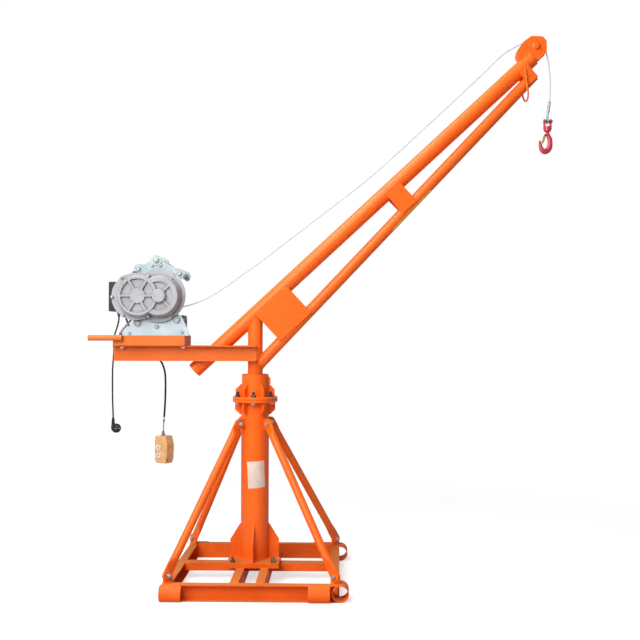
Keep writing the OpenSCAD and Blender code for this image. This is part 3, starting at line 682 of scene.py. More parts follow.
def bolt(heads, nuts, base, axis, grip, stub, spin=0.0, flats=M16_FLATS):
    """A bolt set from its head's seat through a grip."""
    hexagon(heads, base, -axis, flats, M16_HEAD, spin)
    turned(heads, base, axis, [(M16_R, 0), (M16_R, grip)], 20)
    seat = base + axis * grip * MM
    washer(nuts, seat, axis, flats * WASHER_SHARE)
    hexagon(nuts, seat + axis * WASHER_T * MM, axis, flats, M16_NUT - WASHER_T, spin + NUT_TURN)
    thread(nuts, seat + axis * M16_NUT * MM, axis, M16_R, stub)


print("M16 flats", M16_FLATS, "mm")

# %% Frame bolts
LUG_FLATS = 20
FLANGE_BOLTS, FLANGE_BOLT_R = 6, 100
foot_bolts, flange_heads, flange_nuts, lug_bolts = Shape(), Shape(), Shape(), Shape()
for x, y in CORNERS:
    bolt(foot_bolts, foot_bolts, at(x * 105, y * 105, 80), Z, 24, 16, x * 0.3)
    for pin in strut_pins(x, y):
        side = strut_side(x, y)
        bolt(lug_bolts, lug_bolts, pin - side * STRUT_PLATE, side, 16, 6, 0.2, LUG_FLATS)
for k in range(FLANGE_BOLTS):
    a = math.radians(360 / FLANGE_BOLTS * k - 90)
    place = at(FLANGE_BOLT_R * math.cos(a), FLANGE_BOLT_R * math.sin(a), 921)
    bolt(flange_heads, flange_nuts, place, Z, 28, 16, k * 0.35)
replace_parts(foot_bolts.piece("foot_bolt_set", "base", brown_bolt), "frame_bolts")
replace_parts(flange_heads.piece("flange_bolt_heads", "base", bright_bolt), "frame_bolts")
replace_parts(flange_nuts.piece("flange_nuts", "base", dark_bolt), "frame_bolts")
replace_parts(lug_bolts.piece("lug_bolt_set", "base", bright_bolt), "frame_bolts")

# %% [markdown]
# ## Weld beads
# Every joint of the steelwork is a hand-laid bead. Rounding the solids' corners would hide the joints,
# so a small tube with even ripples is laid along each joint's own line and painted with the rest.

# %% Laying a bead
BEAD_R, BEAD_STEP, BEAD_RIPPLE = 0.0028, 0.0066, 0.2
BEAD_OFF = 0.0006


def ripple(distance, angle):
    """The bead's radius, which swells once in a step."""
    return BEAD_R * (1 + BEAD_RIPPLE * math.cos(2 * math.pi * distance / BEAD_STEP))


def bead(shape, *points, closed=False):
    """A painted bead along a line of points."""
    line = spaced(list(points) + [points[0]] * closed, BEAD_STEP / 3)
    tube(shape, line[:-1] if closed else line, ripple, 8, closed)


def arc(centre, radius, first=0, last=355, count=72, right=X, up=Y):
    """Points on a circle between two angles in degrees."""
    angles = [math.radians(first + (last - first) * k / (count - 1)) for k in range(count)]
    return [centre + (right * math.cos(a) + up * math.sin(a)) * radius for a in angles]


print("a ripple every", BEAD_STEP * 1000, "mm")

# %% [markdown]
# ## Beads round the column
# The column stands in its foot plate and its flange in full rings of weld, and each gusset has a bead
# down the column and out along its plate, on both faces. A gusset's bead is the same three points turned
# round the column, so one function gives them from an angle.

# %% Beads round the column
COLUMN_R, SOCKET_R, PLATE_T = 0.073, 0.070, 0.014
GUSSET_HALF = 0.005
foot_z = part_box("column_tube")[0].z
joint_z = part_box("lower_flange")[1].z
under_z, over_z = joint_z - PLATE_T, joint_z + PLATE_T
base_beads = Shape()


def beside(angle, reach, side, height):
    """A point beside a gusset that stands out from the column at an angle."""
    a = math.radians(angle)
    outward, sideways = Vector((math.cos(a), math.sin(a), 0)), Vector((-math.sin(a), math.cos(a), 0))
    return outward * reach + sideways * side + Z * height


def gusset_bead(angle, radius, side, plate_z, rise, out):
    """A bead down the column and out along a plate, on one face of a gusset."""
    bead(base_beads, beside(angle, radius, side, plate_z + rise), beside(angle, radius, side, plate_z),
         beside(angle, radius + out, side, plate_z))


for radius, height in ((COLUMN_R, foot_z), (COLUMN_R, under_z), (SOCKET_R, over_z)):
    bead(base_beads, *arc(Z * height, radius + 0.001), closed=True)
for side in (-GUSSET_HALF, GUSSET_HALF):
    for angle in range(0, 360, 90):
        gusset_bead(angle, COLUMN_R, side, foot_z, 0.176, 0.055)
    for angle in range(0, 360, 60):
        gusset_bead(angle, COLUMN_R, side, under_z, -0.066, 0.032)
        gusset_bead(angle, SOCKET_R, side, over_z, 0.063, 0.032)
print("beads round the column:", len(base_beads.faces), "faces")

# %% [markdown]
# ## Beads on the frame and the lugs
# The channels meet in butt joints, each round sleeve at the frame's end has a bead, and each strut lug
# has one along both faces. Most places come from the channels' own boxes, so that the beads stay on the
# joints, and none lies lower than the floor.

# %% Beads on the frame
frame_low, frame_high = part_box("front_channel")[0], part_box("rear_channel")[1]
top_z = frame_high.z + BEAD_OFF
SEAM_Y = 0.402
END_X = 0.4366
SLEEVE_X, SLEEVE_Y, SLEEVE_Z, SLEEVE_R = 0.450, 0.3464, 0.041, 0.0415
for y in (-SEAM_Y, SEAM_Y):
    for x0, x1 in ((frame_low.x, -0.362), (0.402, 0.436), (-0.084, -0.041), (0.041, 0.084)):
        bead(base_beads, Vector((x0, y, top_z)), Vector((x1, y, top_z)))
    end_x = frame_low.x - BEAD_OFF
    bead(base_beads, Vector((end_x, y, 0.004)), Vector((end_x, y, top_z)))
    edge = math.copysign(frame_high.y, y)
    bead(base_beads, Vector((END_X, edge, top_z)), Vector((END_X, math.copysign(0.347, y), top_z)))
    sleeve_mouth = Vector((SLEEVE_X, math.copysign(SLEEVE_Y, y), SLEEVE_Z))
    bead(base_beads, *arc(sleeve_mouth, SLEEVE_R, 100, 245, 30, X, Z))
    for x0, x1 in ((frame_low.x, -0.309), (0.297, 0.400)):
        bead(base_beads, Vector((x0, edge, top_z)), Vector((x1, edge, top_z)))
print("with the frame:", len(base_beads.faces), "faces")

# %% Beads on the lugs
LUG_HALF, LUG_LOW, LUG_HIGH = 0.026, 0.785, 0.835
for x, y in CORNERS:
    top, foot = strut_pins(x, y)
    side, level = strut_side(x, y), strut_side(x, y).cross(Z)
    for step in (-BEAD_OFF, STRUT_PLATE + BEAD_OFF):
        seat = Vector((foot.x, foot.y, top_z)) + side * step
        bead(base_beads, seat - level * LUG_HALF, seat + level * LUG_HALF)
        start = Vector((top.x, top.y, 0)) + side * step
        reach = start.dot(level)
        inward = reach - math.sqrt(reach ** 2 - start.length_squared + COLUMN_R ** 2)
        foot_of_lug = start - level * inward
        bead(base_beads, foot_of_lug + Z * LUG_LOW, foot_of_lug + Z * LUG_HIGH)
base_beads.piece("base_welds", "base", orange_paint, 60)

# %% [markdown]
# ## Boom tubes
# The boom is two plain tubes, a long one that runs past the post and a thinner one below it whose foot is
# cut to sit round the post. The solids could be dressed as they are, but their facets are as long as the
# boom and their ends are sharp. The same tubes are drawn again in short rings, and the long one gets
# a rolled rim at each end.

# %% Boom tubes
BOOM_OUT, BOOM_BACK = 1.986, 0.437
LOW_START, LOW_TOP = at(0, 0, 1095), boom_point(1.930, -0.0706)
MAIN_R, LOW_R, POST_R, WALL = 0.040, 0.030, 0.039, 0.004
low_along = (LOW_TOP - LOW_START).normalized()
low_across = Vector((-low_along.z, 0, low_along.x))


def beside_post(side, lift):
    """How far along the lower tube its wall leaves the post."""
    return (math.sqrt(POST_R ** 2 - side ** 2) - lift * low_across.x) / low_along.x


TUBE_SIDES, TUBE_RINGS = 96, 44


def pipe(shape, foot, axis, lift, length, radius, starts, sides=TUBE_SIDES, rings=TUBE_RINGS):
    """An open tube whose foot may begin at a different place at each angle."""
    shares = [k / rings for k in range(rings + 1)]
    walls = [(radius, share) for share in shares] + [(radius - WALL, share) for share in shares[::-1]]
    points = []
    for wall, share in walls:
        for k in range(sides):
            a = 2 * math.pi * k / sides
            side_m, lift_m = wall * math.sin(a), wall * math.cos(a)
            start = starts(side_m, lift_m)
            points.append(foot + axis * (start + (length - start) * share) + lift * lift_m + Y * side_m)
    shape.add(points, joined_rings(len(walls), sides, True))


def square_cut(side, lift):
    """A foot that is cut straight across."""
    return 0.0


ROLLED_RIM = [(37.5, -0.6), (39.6, -0.4), (40.6, 0.8), (40.6, 2.6), (39.5, 3.4), (37.5, 3.4)]
main_tube, lower_tube = Shape(), Shape()
pipe(main_tube, boom_point(-BOOM_BACK), along, across, BOOM_BACK + BOOM_OUT, MAIN_R, square_cut)
for end, way in ((BOOM_OUT, -1), (-BOOM_BACK, 1)):
    turned(main_tube, boom_point(end), along * way, ROLLED_RIM, TUBE_SIDES, closed=True)
pipe(lower_tube, LOW_START, low_along, low_across, (LOW_TOP - LOW_START).length, LOW_R, beside_post)
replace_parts(main_tube.piece("long_boom_tube", "upper", orange_paint, 50), "main_boom_tube")
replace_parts(lower_tube.piece("strut_boom_tube", "upper", orange_paint, 50), "lower_boom_tube")

# %% [markdown]
# ## Beads on the boom
# Flat plates tie the two tubes, and a bead runs along each plate's edge where it meets a tube. The
# tubes differ in thickness, so the plates lean in a little, and the beads are moved with them.

# %% Beads on the boom's plates
boom_beads = Shape()
EDGE_LIFT = 0.0032


def low_depth(reach):
    """How far the lower tube lies under the main tube at a reach along the boom."""
    start = LOW_START - boom_point(0)
    rise = low_along.dot(across) / low_along.dot(along)
    return -(start.dot(across) + (reach - start.dot(along)) * rise)


def plate_beads(first, last, lifts=()):
    """Beads along both tubes, or only at some heights, on a pair of plates that spans them."""
    depth = low_depth((first + last) / 2)
    lean = math.asin((MAIN_R - LOW_R) / depth)
    for side in (-1, 1):
        for lift in lifts or (EDGE_LIFT, -depth * math.cos(lean) - EDGE_LIFT):
            out = side * (MAIN_R + 0.0012)
            y = out * math.cos(lean) + side * lift * math.sin(lean)
            n = lift * math.cos(lean) - side * out * math.sin(lean)
            bead(boom_beads, boom_point(first, n, y), boom_point(last, n, y))


for first, last, lifts in ((0.002, 0.222, ()), (0.928, 1.026, ()), (1.870, 1.934, (EDGE_LIFT,))):
    plate_beads(first, last, lifts)
print("beads on the plates:", len(boom_beads.faces), "faces")

# %% [markdown]
# ## Beads round the tubes' joints
# Where the post meets the long tube, and where the lower tube meets the post, the bead follows the line
# in which two cylinders cut each other. That line is worked out angle by angle, because no plain ring
# lies on it.

# %% Beads round the post
JOINT_OFF = 0.0008
saddle = []
for angle in range(0, 360, 4):
    a = math.radians(angle)
    x, y = (POST_R + JOINT_OFF) * math.cos(a), (POST_R + JOINT_OFF) * math.sin(a)
    under = math.sqrt(max((MAIN_R + JOINT_OFF) ** 2 - y ** 2, 0))
    saddle.append(Vector((x, y, BOOM_Z + (x * along.z - under) / along.x)))
bead(boom_beads, *saddle, closed=True)
mouth = []
for angle in range(0, 360, 6):
    a = math.radians(angle)
    side, lift = (LOW_R + JOINT_OFF) * math.sin(a), (LOW_R + JOINT_OFF) * math.cos(a)
    mouth.append(LOW_START + low_along * beside_post(side, lift) + low_across * lift + Y * side)
bead(boom_beads, *mouth, closed=True)
print("with the post:", len(boom_beads.faces), "faces")

# %% [markdown]
# ## Beads on the head, the beams and the seat
# The head's cheeks and the beams have plain straight beads, the seat has short ones with gaps, and the
# handle is tacked to the seat. All of them are on the upper body, so they join the same piece.

# %% Beads on the head and the beams
CHEEK_SIDE, CHEEK_LIFT = 0.0262, 0.0312
BEAM_X, BEAM_Y = 0.0106, 0.0397
SEAT_Y, STITCH, STITCH_STEP = 0.083, 0.034, 0.080
beam_low, beam_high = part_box("winch_beams")
seat_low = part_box("winch_seat")[0]
stitch_z = seat_low.z + BEAD_OFF
for y in (-1, 1):
    bead(boom_beads, boom_point(1.928, CHEEK_LIFT, y * CHEEK_SIDE),
         boom_point(1.985, CHEEK_LIFT, y * CHEEK_SIDE))
    bead(boom_beads, Vector((BEAM_X, y * BEAM_Y, beam_low.z)), Vector((BEAM_X, y * BEAM_Y, beam_high.z)))
    for k in range(5):
        x = seat_low.x + 0.012 + k * STITCH_STEP
        bead(boom_beads, Vector((x, y * SEAT_Y, stitch_z)), Vector((x + STITCH, y * SEAT_Y, stitch_z)))
handle_low, handle_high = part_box("push_handle")
grip_z = (handle_low.z + handle_high.z) / 2
for step in (-0.0052, 0.0052):
    bead(boom_beads, Vector((seat_low.x, seat_low.y - 0.001, grip_z + step)),
         Vector((handle_high.x, seat_low.y - 0.001, grip_z + step)))
boom_beads.piece("boom_welds", "upper", orange_paint, 60)

# %% [markdown]
# ## Caps on the head pin
# The sheave's pin ends in a round painted cap on each cheek. It is a short outline turned about the pin.

# %% Caps on the head pin
CAP_OUTLINE = [(21, -0.5), (21, 1), (19.5, 2), (19.5, 8), (17, 10.5), (8, 11.5)]
pin_caps = Shape()
head_low, head_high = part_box("head_cheeks")
for y, out in ((head_low.y, -Y), (head_high.y, Y)):
    turned(pin_caps, Vector((pin_at.x, y, pin_at.z)), out, CAP_OUTLINE, 48)
pin_caps.piece("head_pin_caps", "upper", orange_paint, 40)

# %% [markdown]
# ## Hoist hardware
# The two zinc plates on each side of the hoist are tied by five rods, whose ends carry washers and nuts.
# The gear covers are closed by eight small screws. All of them lie along the drum's axis, so they are
# placed in a frame of their own, measured across and up from that axis. Four pale nuts hold the seat to
# the beams from below.

# %% Rods and nuts of the hoist
PLATE_FACE, INNER_NUTS = 0.098, 0.087
RODS = {(-107, 139): (12, 19, 2), (106, 115): (12, 19, 2), (-15, 185): (17, 24, 4),
        (-111, -144): (19, 26, 0), (94, -126): (19, 26, 0)}
SMALL_NUTS = {(-38, 157): (10, 16), (7, 158): (10, 16), (-10, -162): (13, 16),
              (-153, -196): (8, 13), (120, -190): (8, 13)}
FAR_NUT_X = 98


def off_drum(across_mm, up_mm, y):
    """A point measured from the drum's axis, at a place across the crane."""
    return Vector((drum_at.x + across_mm * MM, y, drum_at.z + up_mm * MM))


hoist_nuts = Shape()
for (x, z), (radius, flats, proud) in RODS.items():
    turned(hoist_nuts, off_drum(x, z, -0.1), Y, [(10, 0), (10, 200)], 28)
    for out in (-1, 1):
        back = off_drum(x, z, out * INNER_NUTS)
        washer(hoist_nuts, back, -out * Y, 14, 3)
        hexagon(hoist_nuts, back, -out * Y, 22, 9)
        face = off_drum(x, z, out * (PLATE_FACE + proud * MM))
        washer(hoist_nuts, face, out * Y, radius)
        hexagon(hoist_nuts, face + out * Y * WASHER_T * MM, out * Y, flats, 9, 0.3)
for (x, z), (radius, flats) in SMALL_NUTS.items():
    for out in (-1, 1):
        x_here = min(x, FAR_NUT_X) if out > 0 else x
        washer(hoist_nuts, off_drum(x_here, z, out * PLATE_FACE), out * Y, radius, 2)
        hexagon(hoist_nuts, off_drum(x_here, z, out * (PLATE_FACE + 0.002)), out * Y, flats, 6, 0.1)
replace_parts(hoist_nuts.piece("hoist_rods_and_nuts", "upper", bright_bolt), "tie_rods")

# %% Cover screws
COVER_FACE, COVER_WASHER = 0.146, 1.5
COVER_SCREWS = ((-233, -8), (-184, 92), (-48, 99), (69, 81), (109, -7), (70, -90), (-47, -109),
                (-176, -104))
cover_screws = Shape()
for x, z in COVER_SCREWS:
    washer(cover_screws, off_drum(x, z, -COVER_FACE), -Y, 8, COVER_WASHER)
    hexagon(cover_screws, off_drum(x, z, -COVER_FACE - COVER_WASHER * MM), -Y, 12, 5.5, x)
cover_screws.piece("cover_screws", "upper", bright_bolt)

# %% Nuts under the seat
SEAT_NUTS = [(x, y) for x in (-0.690, -0.369) for y in (-0.070, 0.070)]
FLANGE_T, SEAT_WASHER = 0.005, 2
seat_nuts = Shape()
for x, y in SEAT_NUTS:
    flange_z = beam_high.z - FLANGE_T
    washer(seat_nuts, Vector((x, y, flange_z)), -Z, 12, SEAT_WASHER)
    hexagon(seat_nuts, Vector((x, y, flange_z - SEAT_WASHER * MM)), -Z, 17, 8, 0.3)
seat_nuts.piece("seat_nuts", "upper", pale_plastic)

# %% [markdown]
# ## Rope on the drum
# The drum carries a layer of the same rope, wound from flange to flange. A cylinder with a bump would
# read as a thread, so the winding is one real helix of tube over a plain core.

# %% Rope on the drum
WIND_R, WIND_Y, PER_TURN = 0.077, 0.078, 36
INNER_LAYERS = [(72, 0), (72, 2 * WIND_Y / MM)]


def on_coil(step):
    """The middle of the rope after a number of steps round the drum."""
    a, reach = 2 * math.pi * step / PER_TURN, WIND_R - ROPE_D / 2
    return Vector((drum_at.x + reach * math.cos(a), -WIND_Y + ROPE_D / 2 + ROPE_D * step / PER_TURN,
                   drum_at.z + reach * math.sin(a)))


winding = Shape()
turned(winding, Vector((drum_at.x, -WIND_Y, drum_at.z)), Y, INNER_LAYERS, 64)
turns = int(2 * WIND_Y / ROPE_D) - 1
coil = [on_coil(step) for step in range(PER_TURN * turns)]
tube(winding, coil, lambda distance, angle: ROPE_D / 2, 8)
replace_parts(winding.piece("drum_winding", "upper", steel_wire, 50), "rope_winding")

# %% [markdown]
# ## Control box
# The black box behind the covers is a moulded case with a lid and four screws. A cube would have hard
# edges that a moulding never has, so both halves are stacks of rounded outlines whose rims are broken.

# %% Rounded blocks
CORNER_TURNS = ((1, 1, 0), (-1, 1, 90), (-1, -1, 180), (1, -1, 270))


def block(shape, low, high, corner, edge=0.0012, up=Z, steps=5):
    """A box with round corners about one axis and broken rims across it."""
    low, high = Vector(low), Vector(high)
    right = X if abs(up.x) < 0.5 else Y
    deep = up.cross(right)
    middle_point, half = (low + high) / 2, (high - low) / 2
    wide, tall, rise = (abs(half.dot(d)) for d in (right, deep, up))
    points, rings = [], ((-rise, edge), (-rise + edge, 0), (rise - edge, 0), (rise, edge))
    for height, inset in rings:
        for x, y, first in CORNER_TURNS:
            for k in range(steps):
                a = math.radians(first + 90 * k / (steps - 1))
                points.append(middle_point + up * height
                              + right * (x * (wide - corner) + (corner - inset) * math.cos(a))
                              + deep * (y * (tall - corner) + (corner - inset) * math.sin(a)))
    sides = 4 * steps
    faces = joined_rings(len(rings), sides)
    faces += [tuple(range(sides))[::-1], tuple(range(3 * sides, 4 * sides))]
    shape.add(points, faces)


print("a round corner has 5 points")

# %% Control box
box_low, box_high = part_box("control_box")
BOX_Z, LID_T, LID_GAP, BOX_Y = 1.393, 0.022, 0.0015, -0.112
RIB_FROM, RIB_STEP, RIB_HALF = 0.025, 0.026, 0.004
lid_y = box_high.y - LID_T
control = Shape()
block(control, (box_low.x, BOX_Y, BOX_Z), (box_high.x, lid_y, box_high.z), 0.006, 0.0015, Y)
block(control, (box_low.x, lid_y + LID_GAP, BOX_Z), (box_high.x, box_high.y, box_high.z), 0.006, 0.003, Y)
block(control, (box_low.x + 0.024, box_low.y, BOX_Z + 0.028), (box_low.x + 0.080, BOX_Y, BOX_Z + 0.126),
      0.008, 0.002, Y)
for k in range(5):
    z = BOX_Z + RIB_FROM + k * RIB_STEP
    block(control, (box_low.x + 0.0002, BOX_Y + 0.018, z - RIB_HALF),
          (box_low.x + 0.004, box_high.y - 0.034, z + RIB_HALF), 0.0015, 0.001, Y)
turned(control, at(-707, -70, 1365), Z, [(5, 0), (5.6, 2), (9.5, 21)])
turned(control, at(-707, -70, 1386), Z, [(11, 0), (12, 1), (12, 7)], 6)
turned(control, at(-680, -45, 1381), Z, [(6, 0), (7.5, 6)])
turned(control, at(-680, -45, 1387), Z, [(8.4, 0), (9, 1), (9, 6)], 6)
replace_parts(control.piece("control_case", "upper", black_plastic, 30), "control_box")

# %% Lid screws
SCREW_HEAD = [(4, -0.5), (4, 0.4), (2.5, 0.9)]
lid_screws = Shape()
for x in (box_low.x + 0.010, box_high.x - 0.010):
    for z in (BOX_Z + 0.012, box_high.z - 0.012):
        turned(lid_screws, Vector((x, box_high.y, z)), Y, SCREW_HEAD, 16)
lid_screws.piece("lid_screws", "upper", bright_bolt)

# %% [markdown]
# ## Mains plug
# The plug is a round moulded body that its cord enters from the side, with a ribbed sleeve, two round
# pins and a low earth contact. It is turned about the pins' direction, and the sleeve about the cord's.

# %% Mains plug
PLUG_AT, PLUG_TURN = at(-734, -28, 783), math.radians(30)
facing = Vector((math.sin(PLUG_TURN), -math.cos(PLUG_TURN), 0))
level = Vector((math.cos(PLUG_TURN), math.sin(PLUG_TURN), 0))
plug = Shape()
turned(plug, PLUG_AT, facing, [(16, 0), (21, 1.5), (23.5, 5), (24, 9), (24, 25), (23, 28), (21.5, 30),
                               (20, 30), (19.5, 27), (8, 27)], 48)
sleeve, RIB_PITCH = [(11, 0), (10.4, 8)], 7
for k in range(6):
    radius, z = 9.8 - 0.55 * k, RIB_PITCH * k
    sleeve += [(radius, 11 + z), (radius, 15 + z), (radius - 1.3, 15.6 + z), (radius - 1.4, 17.4 + z)]
turned(plug, at(-742, -40, 785), Z, sleeve)
plug_body = plug.piece("plug_body", "upper", black_plastic, 40)
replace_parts(plug_body, "mains_plug")

# %% Pins of the plug
PIN_SIDE, EARTH_UP = 0.0095, 0.010
pins = Shape()
for step in (-PIN_SIDE, PIN_SIDE):
    turned(pins, PLUG_AT + level * step, facing, [(2.4, 26), (2.4, 47.5), (1.6, 49)], 20)
turned(pins, PLUG_AT + Z * EARTH_UP, facing, [(3.2, 26), (3.2, 27.6), (2, 27.6)], 20)
plug_pins = pins.piece("plug_pins", "upper", bright_bolt)

# %% [markdown]
# ## Push-button box
# The control cord ends in a handheld push-button box that is still wrapped in brown packing film. A cube
# with a bump would keep straight edges, so the film is a stack of nearly square rings that follow the
# box's outline, and noise pulls them in a little, so that it creases the way a tight wrap does.

# %% Outline of the push-button box
BOX_FOOT, BOX_TURN = at(-479, 0, 598), math.radians(-29)
BOX_W, BOX_D, BOX_H = 0.080, 0.062, 0.143
box_right = Vector((math.cos(BOX_TURN), math.sin(BOX_TURN), 0))
box_deep = Z.cross(box_right)


def on_box(right, deep, up):
    """A point in the box's own directions, in metres."""
    return BOX_FOOT + box_right * right + box_deep * deep + Z * up


def wrapped_outline():
    """Half the width of the box to its left and right at each height."""
    w = BOX_W / 2
    left = [(-w + 0.010, 0), (-w, 0.010), (-w, BOX_H - 0.010), (-w + 0.008, BOX_H)]
    right = [(w - 0.008, 0), (w, 0.042), (w, 0.100), (w - 0.013, BOX_H)]
    return left, right


def side_at(side, height):
    """Where one side lies at a height."""
    for (x0, z0), (x1, z1) in zip(side, side[1:]):
        if height <= z1:
            return x0 + (x1 - x0) * (height - z0) / (z1 - z0)
    return side[-1][0]


left, right = wrapped_outline()
print("half width at mid height", side_at(left, BOX_H / 2), side_at(right, BOX_H / 2))

# %% Packing film
FILM_SIDES, FILM_ROWS = 72, 56
SQUARENESS, EDGE_ROUND, END_SHRINK = 0.22, 0.008, 0.86
FILM_SWELL, CREASE_DEPTH, FINE_SHARE = 1.05, 0.06, 0.4
GATHER, GATHER_FROM = 1.2, 0.7


def squared(value):
    """A cosine or a sine pushed outwards, so that a ring of them is nearly a square."""
    return math.copysign(abs(value) ** SQUARENESS, value)


def film_push(x, y, height):
    """How far the film lies out at a place, with long creases, fine ones and more near the top."""
    crease = noise.noise(Vector((x * 40, y * 40, height * 16))) \
        + FINE_SHARE * noise.noise(Vector((x * 90, y * 90, height * 45)))
    return FILM_SWELL - CREASE_DEPTH * abs(crease) * (1 + GATHER * max(height / BOX_H - GATHER_FROM, 0))


film, film_points = Shape(), []
for row in range(FILM_ROWS + 3):
    height = BOX_H * min(max(row - 1, 0), FILM_ROWS) / FILM_ROWS
    shrink = END_SHRINK if row in (0, FILM_ROWS + 2) else 1.0
    x0, x1 = side_at(left, height), side_at(right, height)
    edge = min(height, BOX_H - height, EDGE_ROUND)
    deep = BOX_D / 2 - 0.5 * (EDGE_ROUND - edge)
    for k in range(FILM_SIDES):
        a = 2 * math.pi * (k + 0.5) / FILM_SIDES
        x = (x0 + x1) / 2 + squared(math.cos(a)) * (x1 - x0) / 2 * shrink
        y = squared(math.sin(a)) * deep * shrink
        push = film_push(x, y, height)
        film_points.append(on_box(x * push, y * push, height))
film_faces = joined_rings(FILM_ROWS + 3, FILM_SIDES)
film_faces += [tuple(range(FILM_SIDES))[::-1],
               tuple(range(len(film_points) - FILM_SIDES, len(film_points)))]
film.add(film_points, film_faces)
handset = film.piece("push_button_box", "upper", packing_film, 40)
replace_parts(handset, "pendant")

# %% [markdown]
# ## Buttons, screws and boot of the box
# Two pale plates with a round cap each look out through the film, two screws close the box from the side,
# and a rubber boot holds the cord at its top. The plates are drawn in the box's own directions and then
# turned with it, so that they lie flat on its front.

# %% Buttons
BUTTON_X, BUTTON_W, BUTTON_HALF = -0.0135, 0.028, 0.0125
BUTTON_CAP = [(6, 0), (6, 1.6), (5, 2.2)]
front_y = -BOX_D / 2
buttons, caps = Shape(), Shape()
for height in (0.041, 0.081):
    start = len(buttons.points)
    block(buttons, (BUTTON_X - BUTTON_W / 2, front_y - 0.0035, height - BUTTON_HALF),
          (BUTTON_X + BUTTON_W / 2, front_y + 0.002, height + BUTTON_HALF), 0.004, 0.001, Y)
    buttons.points[start:] = [on_box(*point) for point in buttons.points[start:]]
    turned(caps, on_box(BUTTON_X, front_y - 0.003, height), -box_deep, BUTTON_CAP, 24)
buttons.piece("push_buttons", "upper", pale_plastic)
caps.piece("button_caps", "upper", sleeve_metal)

# %% Screws and boot
SIDE_SCREW = [(3.5, 0), (3.5, 3.6), (2, 4.6)]
box_screws = Shape()
for height in (0.019, 0.099):
    turned(box_screws, on_box(BOX_W / 2 - 0.004, -0.024, height), box_right, SIDE_SCREW, 16)
box_screws.piece("box_screws", "upper", dark_bolt)
cord_end = Shape()
turned(cord_end, at(-486, 0, 736), Z, [(14, 0), (13, 6), (9, 9), (8, 16), (6.5, 19), (6.2, 27)])
box_boot = cord_end.piece("box_boot", "upper", boot_rubber, 40)

# %% [markdown]
# ## Rope end
# The rope ends in an eye whose two legs are pressed into one metal sleeve. The sleeve is turned about the
# rope's own lean, and the eye is a loop nearly as thick as the rope, bent round the yoke's pin.

# %% Rope end
SLEEVE_LEAN, EYE_R = math.radians(8), 0.016
rope_eye = Shape()
turned(rope_eye, rope_points[-1], (-math.sin(SLEEVE_LEAN), 0, -math.cos(SLEEVE_LEAN)),
       [(5.5, -1), (7.6, 2), (8, 5), (8, 54), (7, 58)], 28)
loop = [at(1540, -4, 2446), at(1538, -9, 2432), at(1537, -14, 2418)]
loop += arc(at(1537, 0, 2404), EYE_R, 170, 370, 24, Y, Z)
loop += [at(1537, 14, 2418), at(1538, 9, 2432), at(1540, 4, 2446)]
tube(rope_eye, spaced(smooth_line(loop, 4), 0.002), lambda distance, angle: 0.0038, 12)
rope_sleeve = rope_eye.piece("rope_sleeve_and_eye", "upper", sleeve_metal, 40)
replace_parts(rope_sleeve, "rope_end")

# %% [markdown]
# ## Yoke and its pin
# A pin holds the eye in a forged yoke, which has two cheeks and a round foot. It could be cast in one
# skin, but its parts are plain turned and rounded bodies that overlap, and the paint hides where they
# meet. The pin stays dark, because it isn't painted.

# %% Yoke and its pin
yoke_at = at(1537, 0, 2398)
yoke = Shape()
turned(yoke, yoke_at - Z * 0.053, Z, [(8.3, 0), (17, 0), (19, 2.5), (19, 12), (8.3, 12)], 48, closed=True)
turned(yoke, yoke_at - Z * 0.042, Z, [(12.6, 0), (19, 0), (19, 15), (12.6, 15)], 48, closed=True)
for step in (-1, 1):
    near_x, far_x = sorted((step * 12, step * 20))
    block(yoke, yoke_at + at(near_x, -12, -44), yoke_at + at(far_x, 12, 0), 0.003, 0.0015, X)
    turned(yoke, yoke_at + X * step * 0.012, X * step, [(13, 0), (13, 7), (12, 8)], 40)
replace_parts(yoke.piece("forged_yoke", "yoke", red_paint, 35), "hook_yoke")
yoke_pin = Shape()
turned(yoke_pin, yoke_at - X * 0.0205, X, [(6.5, 0), (7, 0.5), (6, 1), (6, 43)], 32)
hexagon(yoke_pin, yoke_at + X * 0.020, X, 18, 5.5)
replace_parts(yoke_pin.piece("yoke_pin", "yoke", dark_bolt, 35), "hook_yoke")

# %% [markdown]
# ## Forged hook
# The hook turns in the yoke's foot. It is a forging, thick at its bend and thin at its tip, so it is one
# tube whose radius follows the distance. A plain torus would have an even thickness, and would look like
# bent wire.

# %% Forged hook
hook_outline = [(0, -54, 9), (1, -66, 9.5), (6, -78, 10.5), (12, -94, 12), (13.4, -113, 12.2),
                (11, -134, 14), (2, -150, 14.5), (-12, -158, 14), (-26, -152, 12.5), (-35, -137, 10),
                (-38, -118, 8), (-40, -106, 5.8), (-40.4, -101.5, 4), (-40.5, -99.6, 1.6)]
forged = smooth_line([Vector((x, radius, z)) * MM for x, z, radius in hook_outline], 6)
hook_path = [yoke_at + Vector((point.x, 0, point.z)) for point in forged]
swell = [(length_of(hook_path[:k + 1]), point.y) for k, point in enumerate(forged)]


def forged_radius(distance, angle):
    """The thickness at a distance along the hook, a little flatter across it."""
    for (d0, r0), (d1, r1) in zip(swell, swell[1:]):
        if distance <= d1:
            break
    share = min((distance - d0) / (d1 - d0), 1)
    return (r0 + (r1 - r0) * share) * (1 - 0.06 * math.cos(2 * angle))


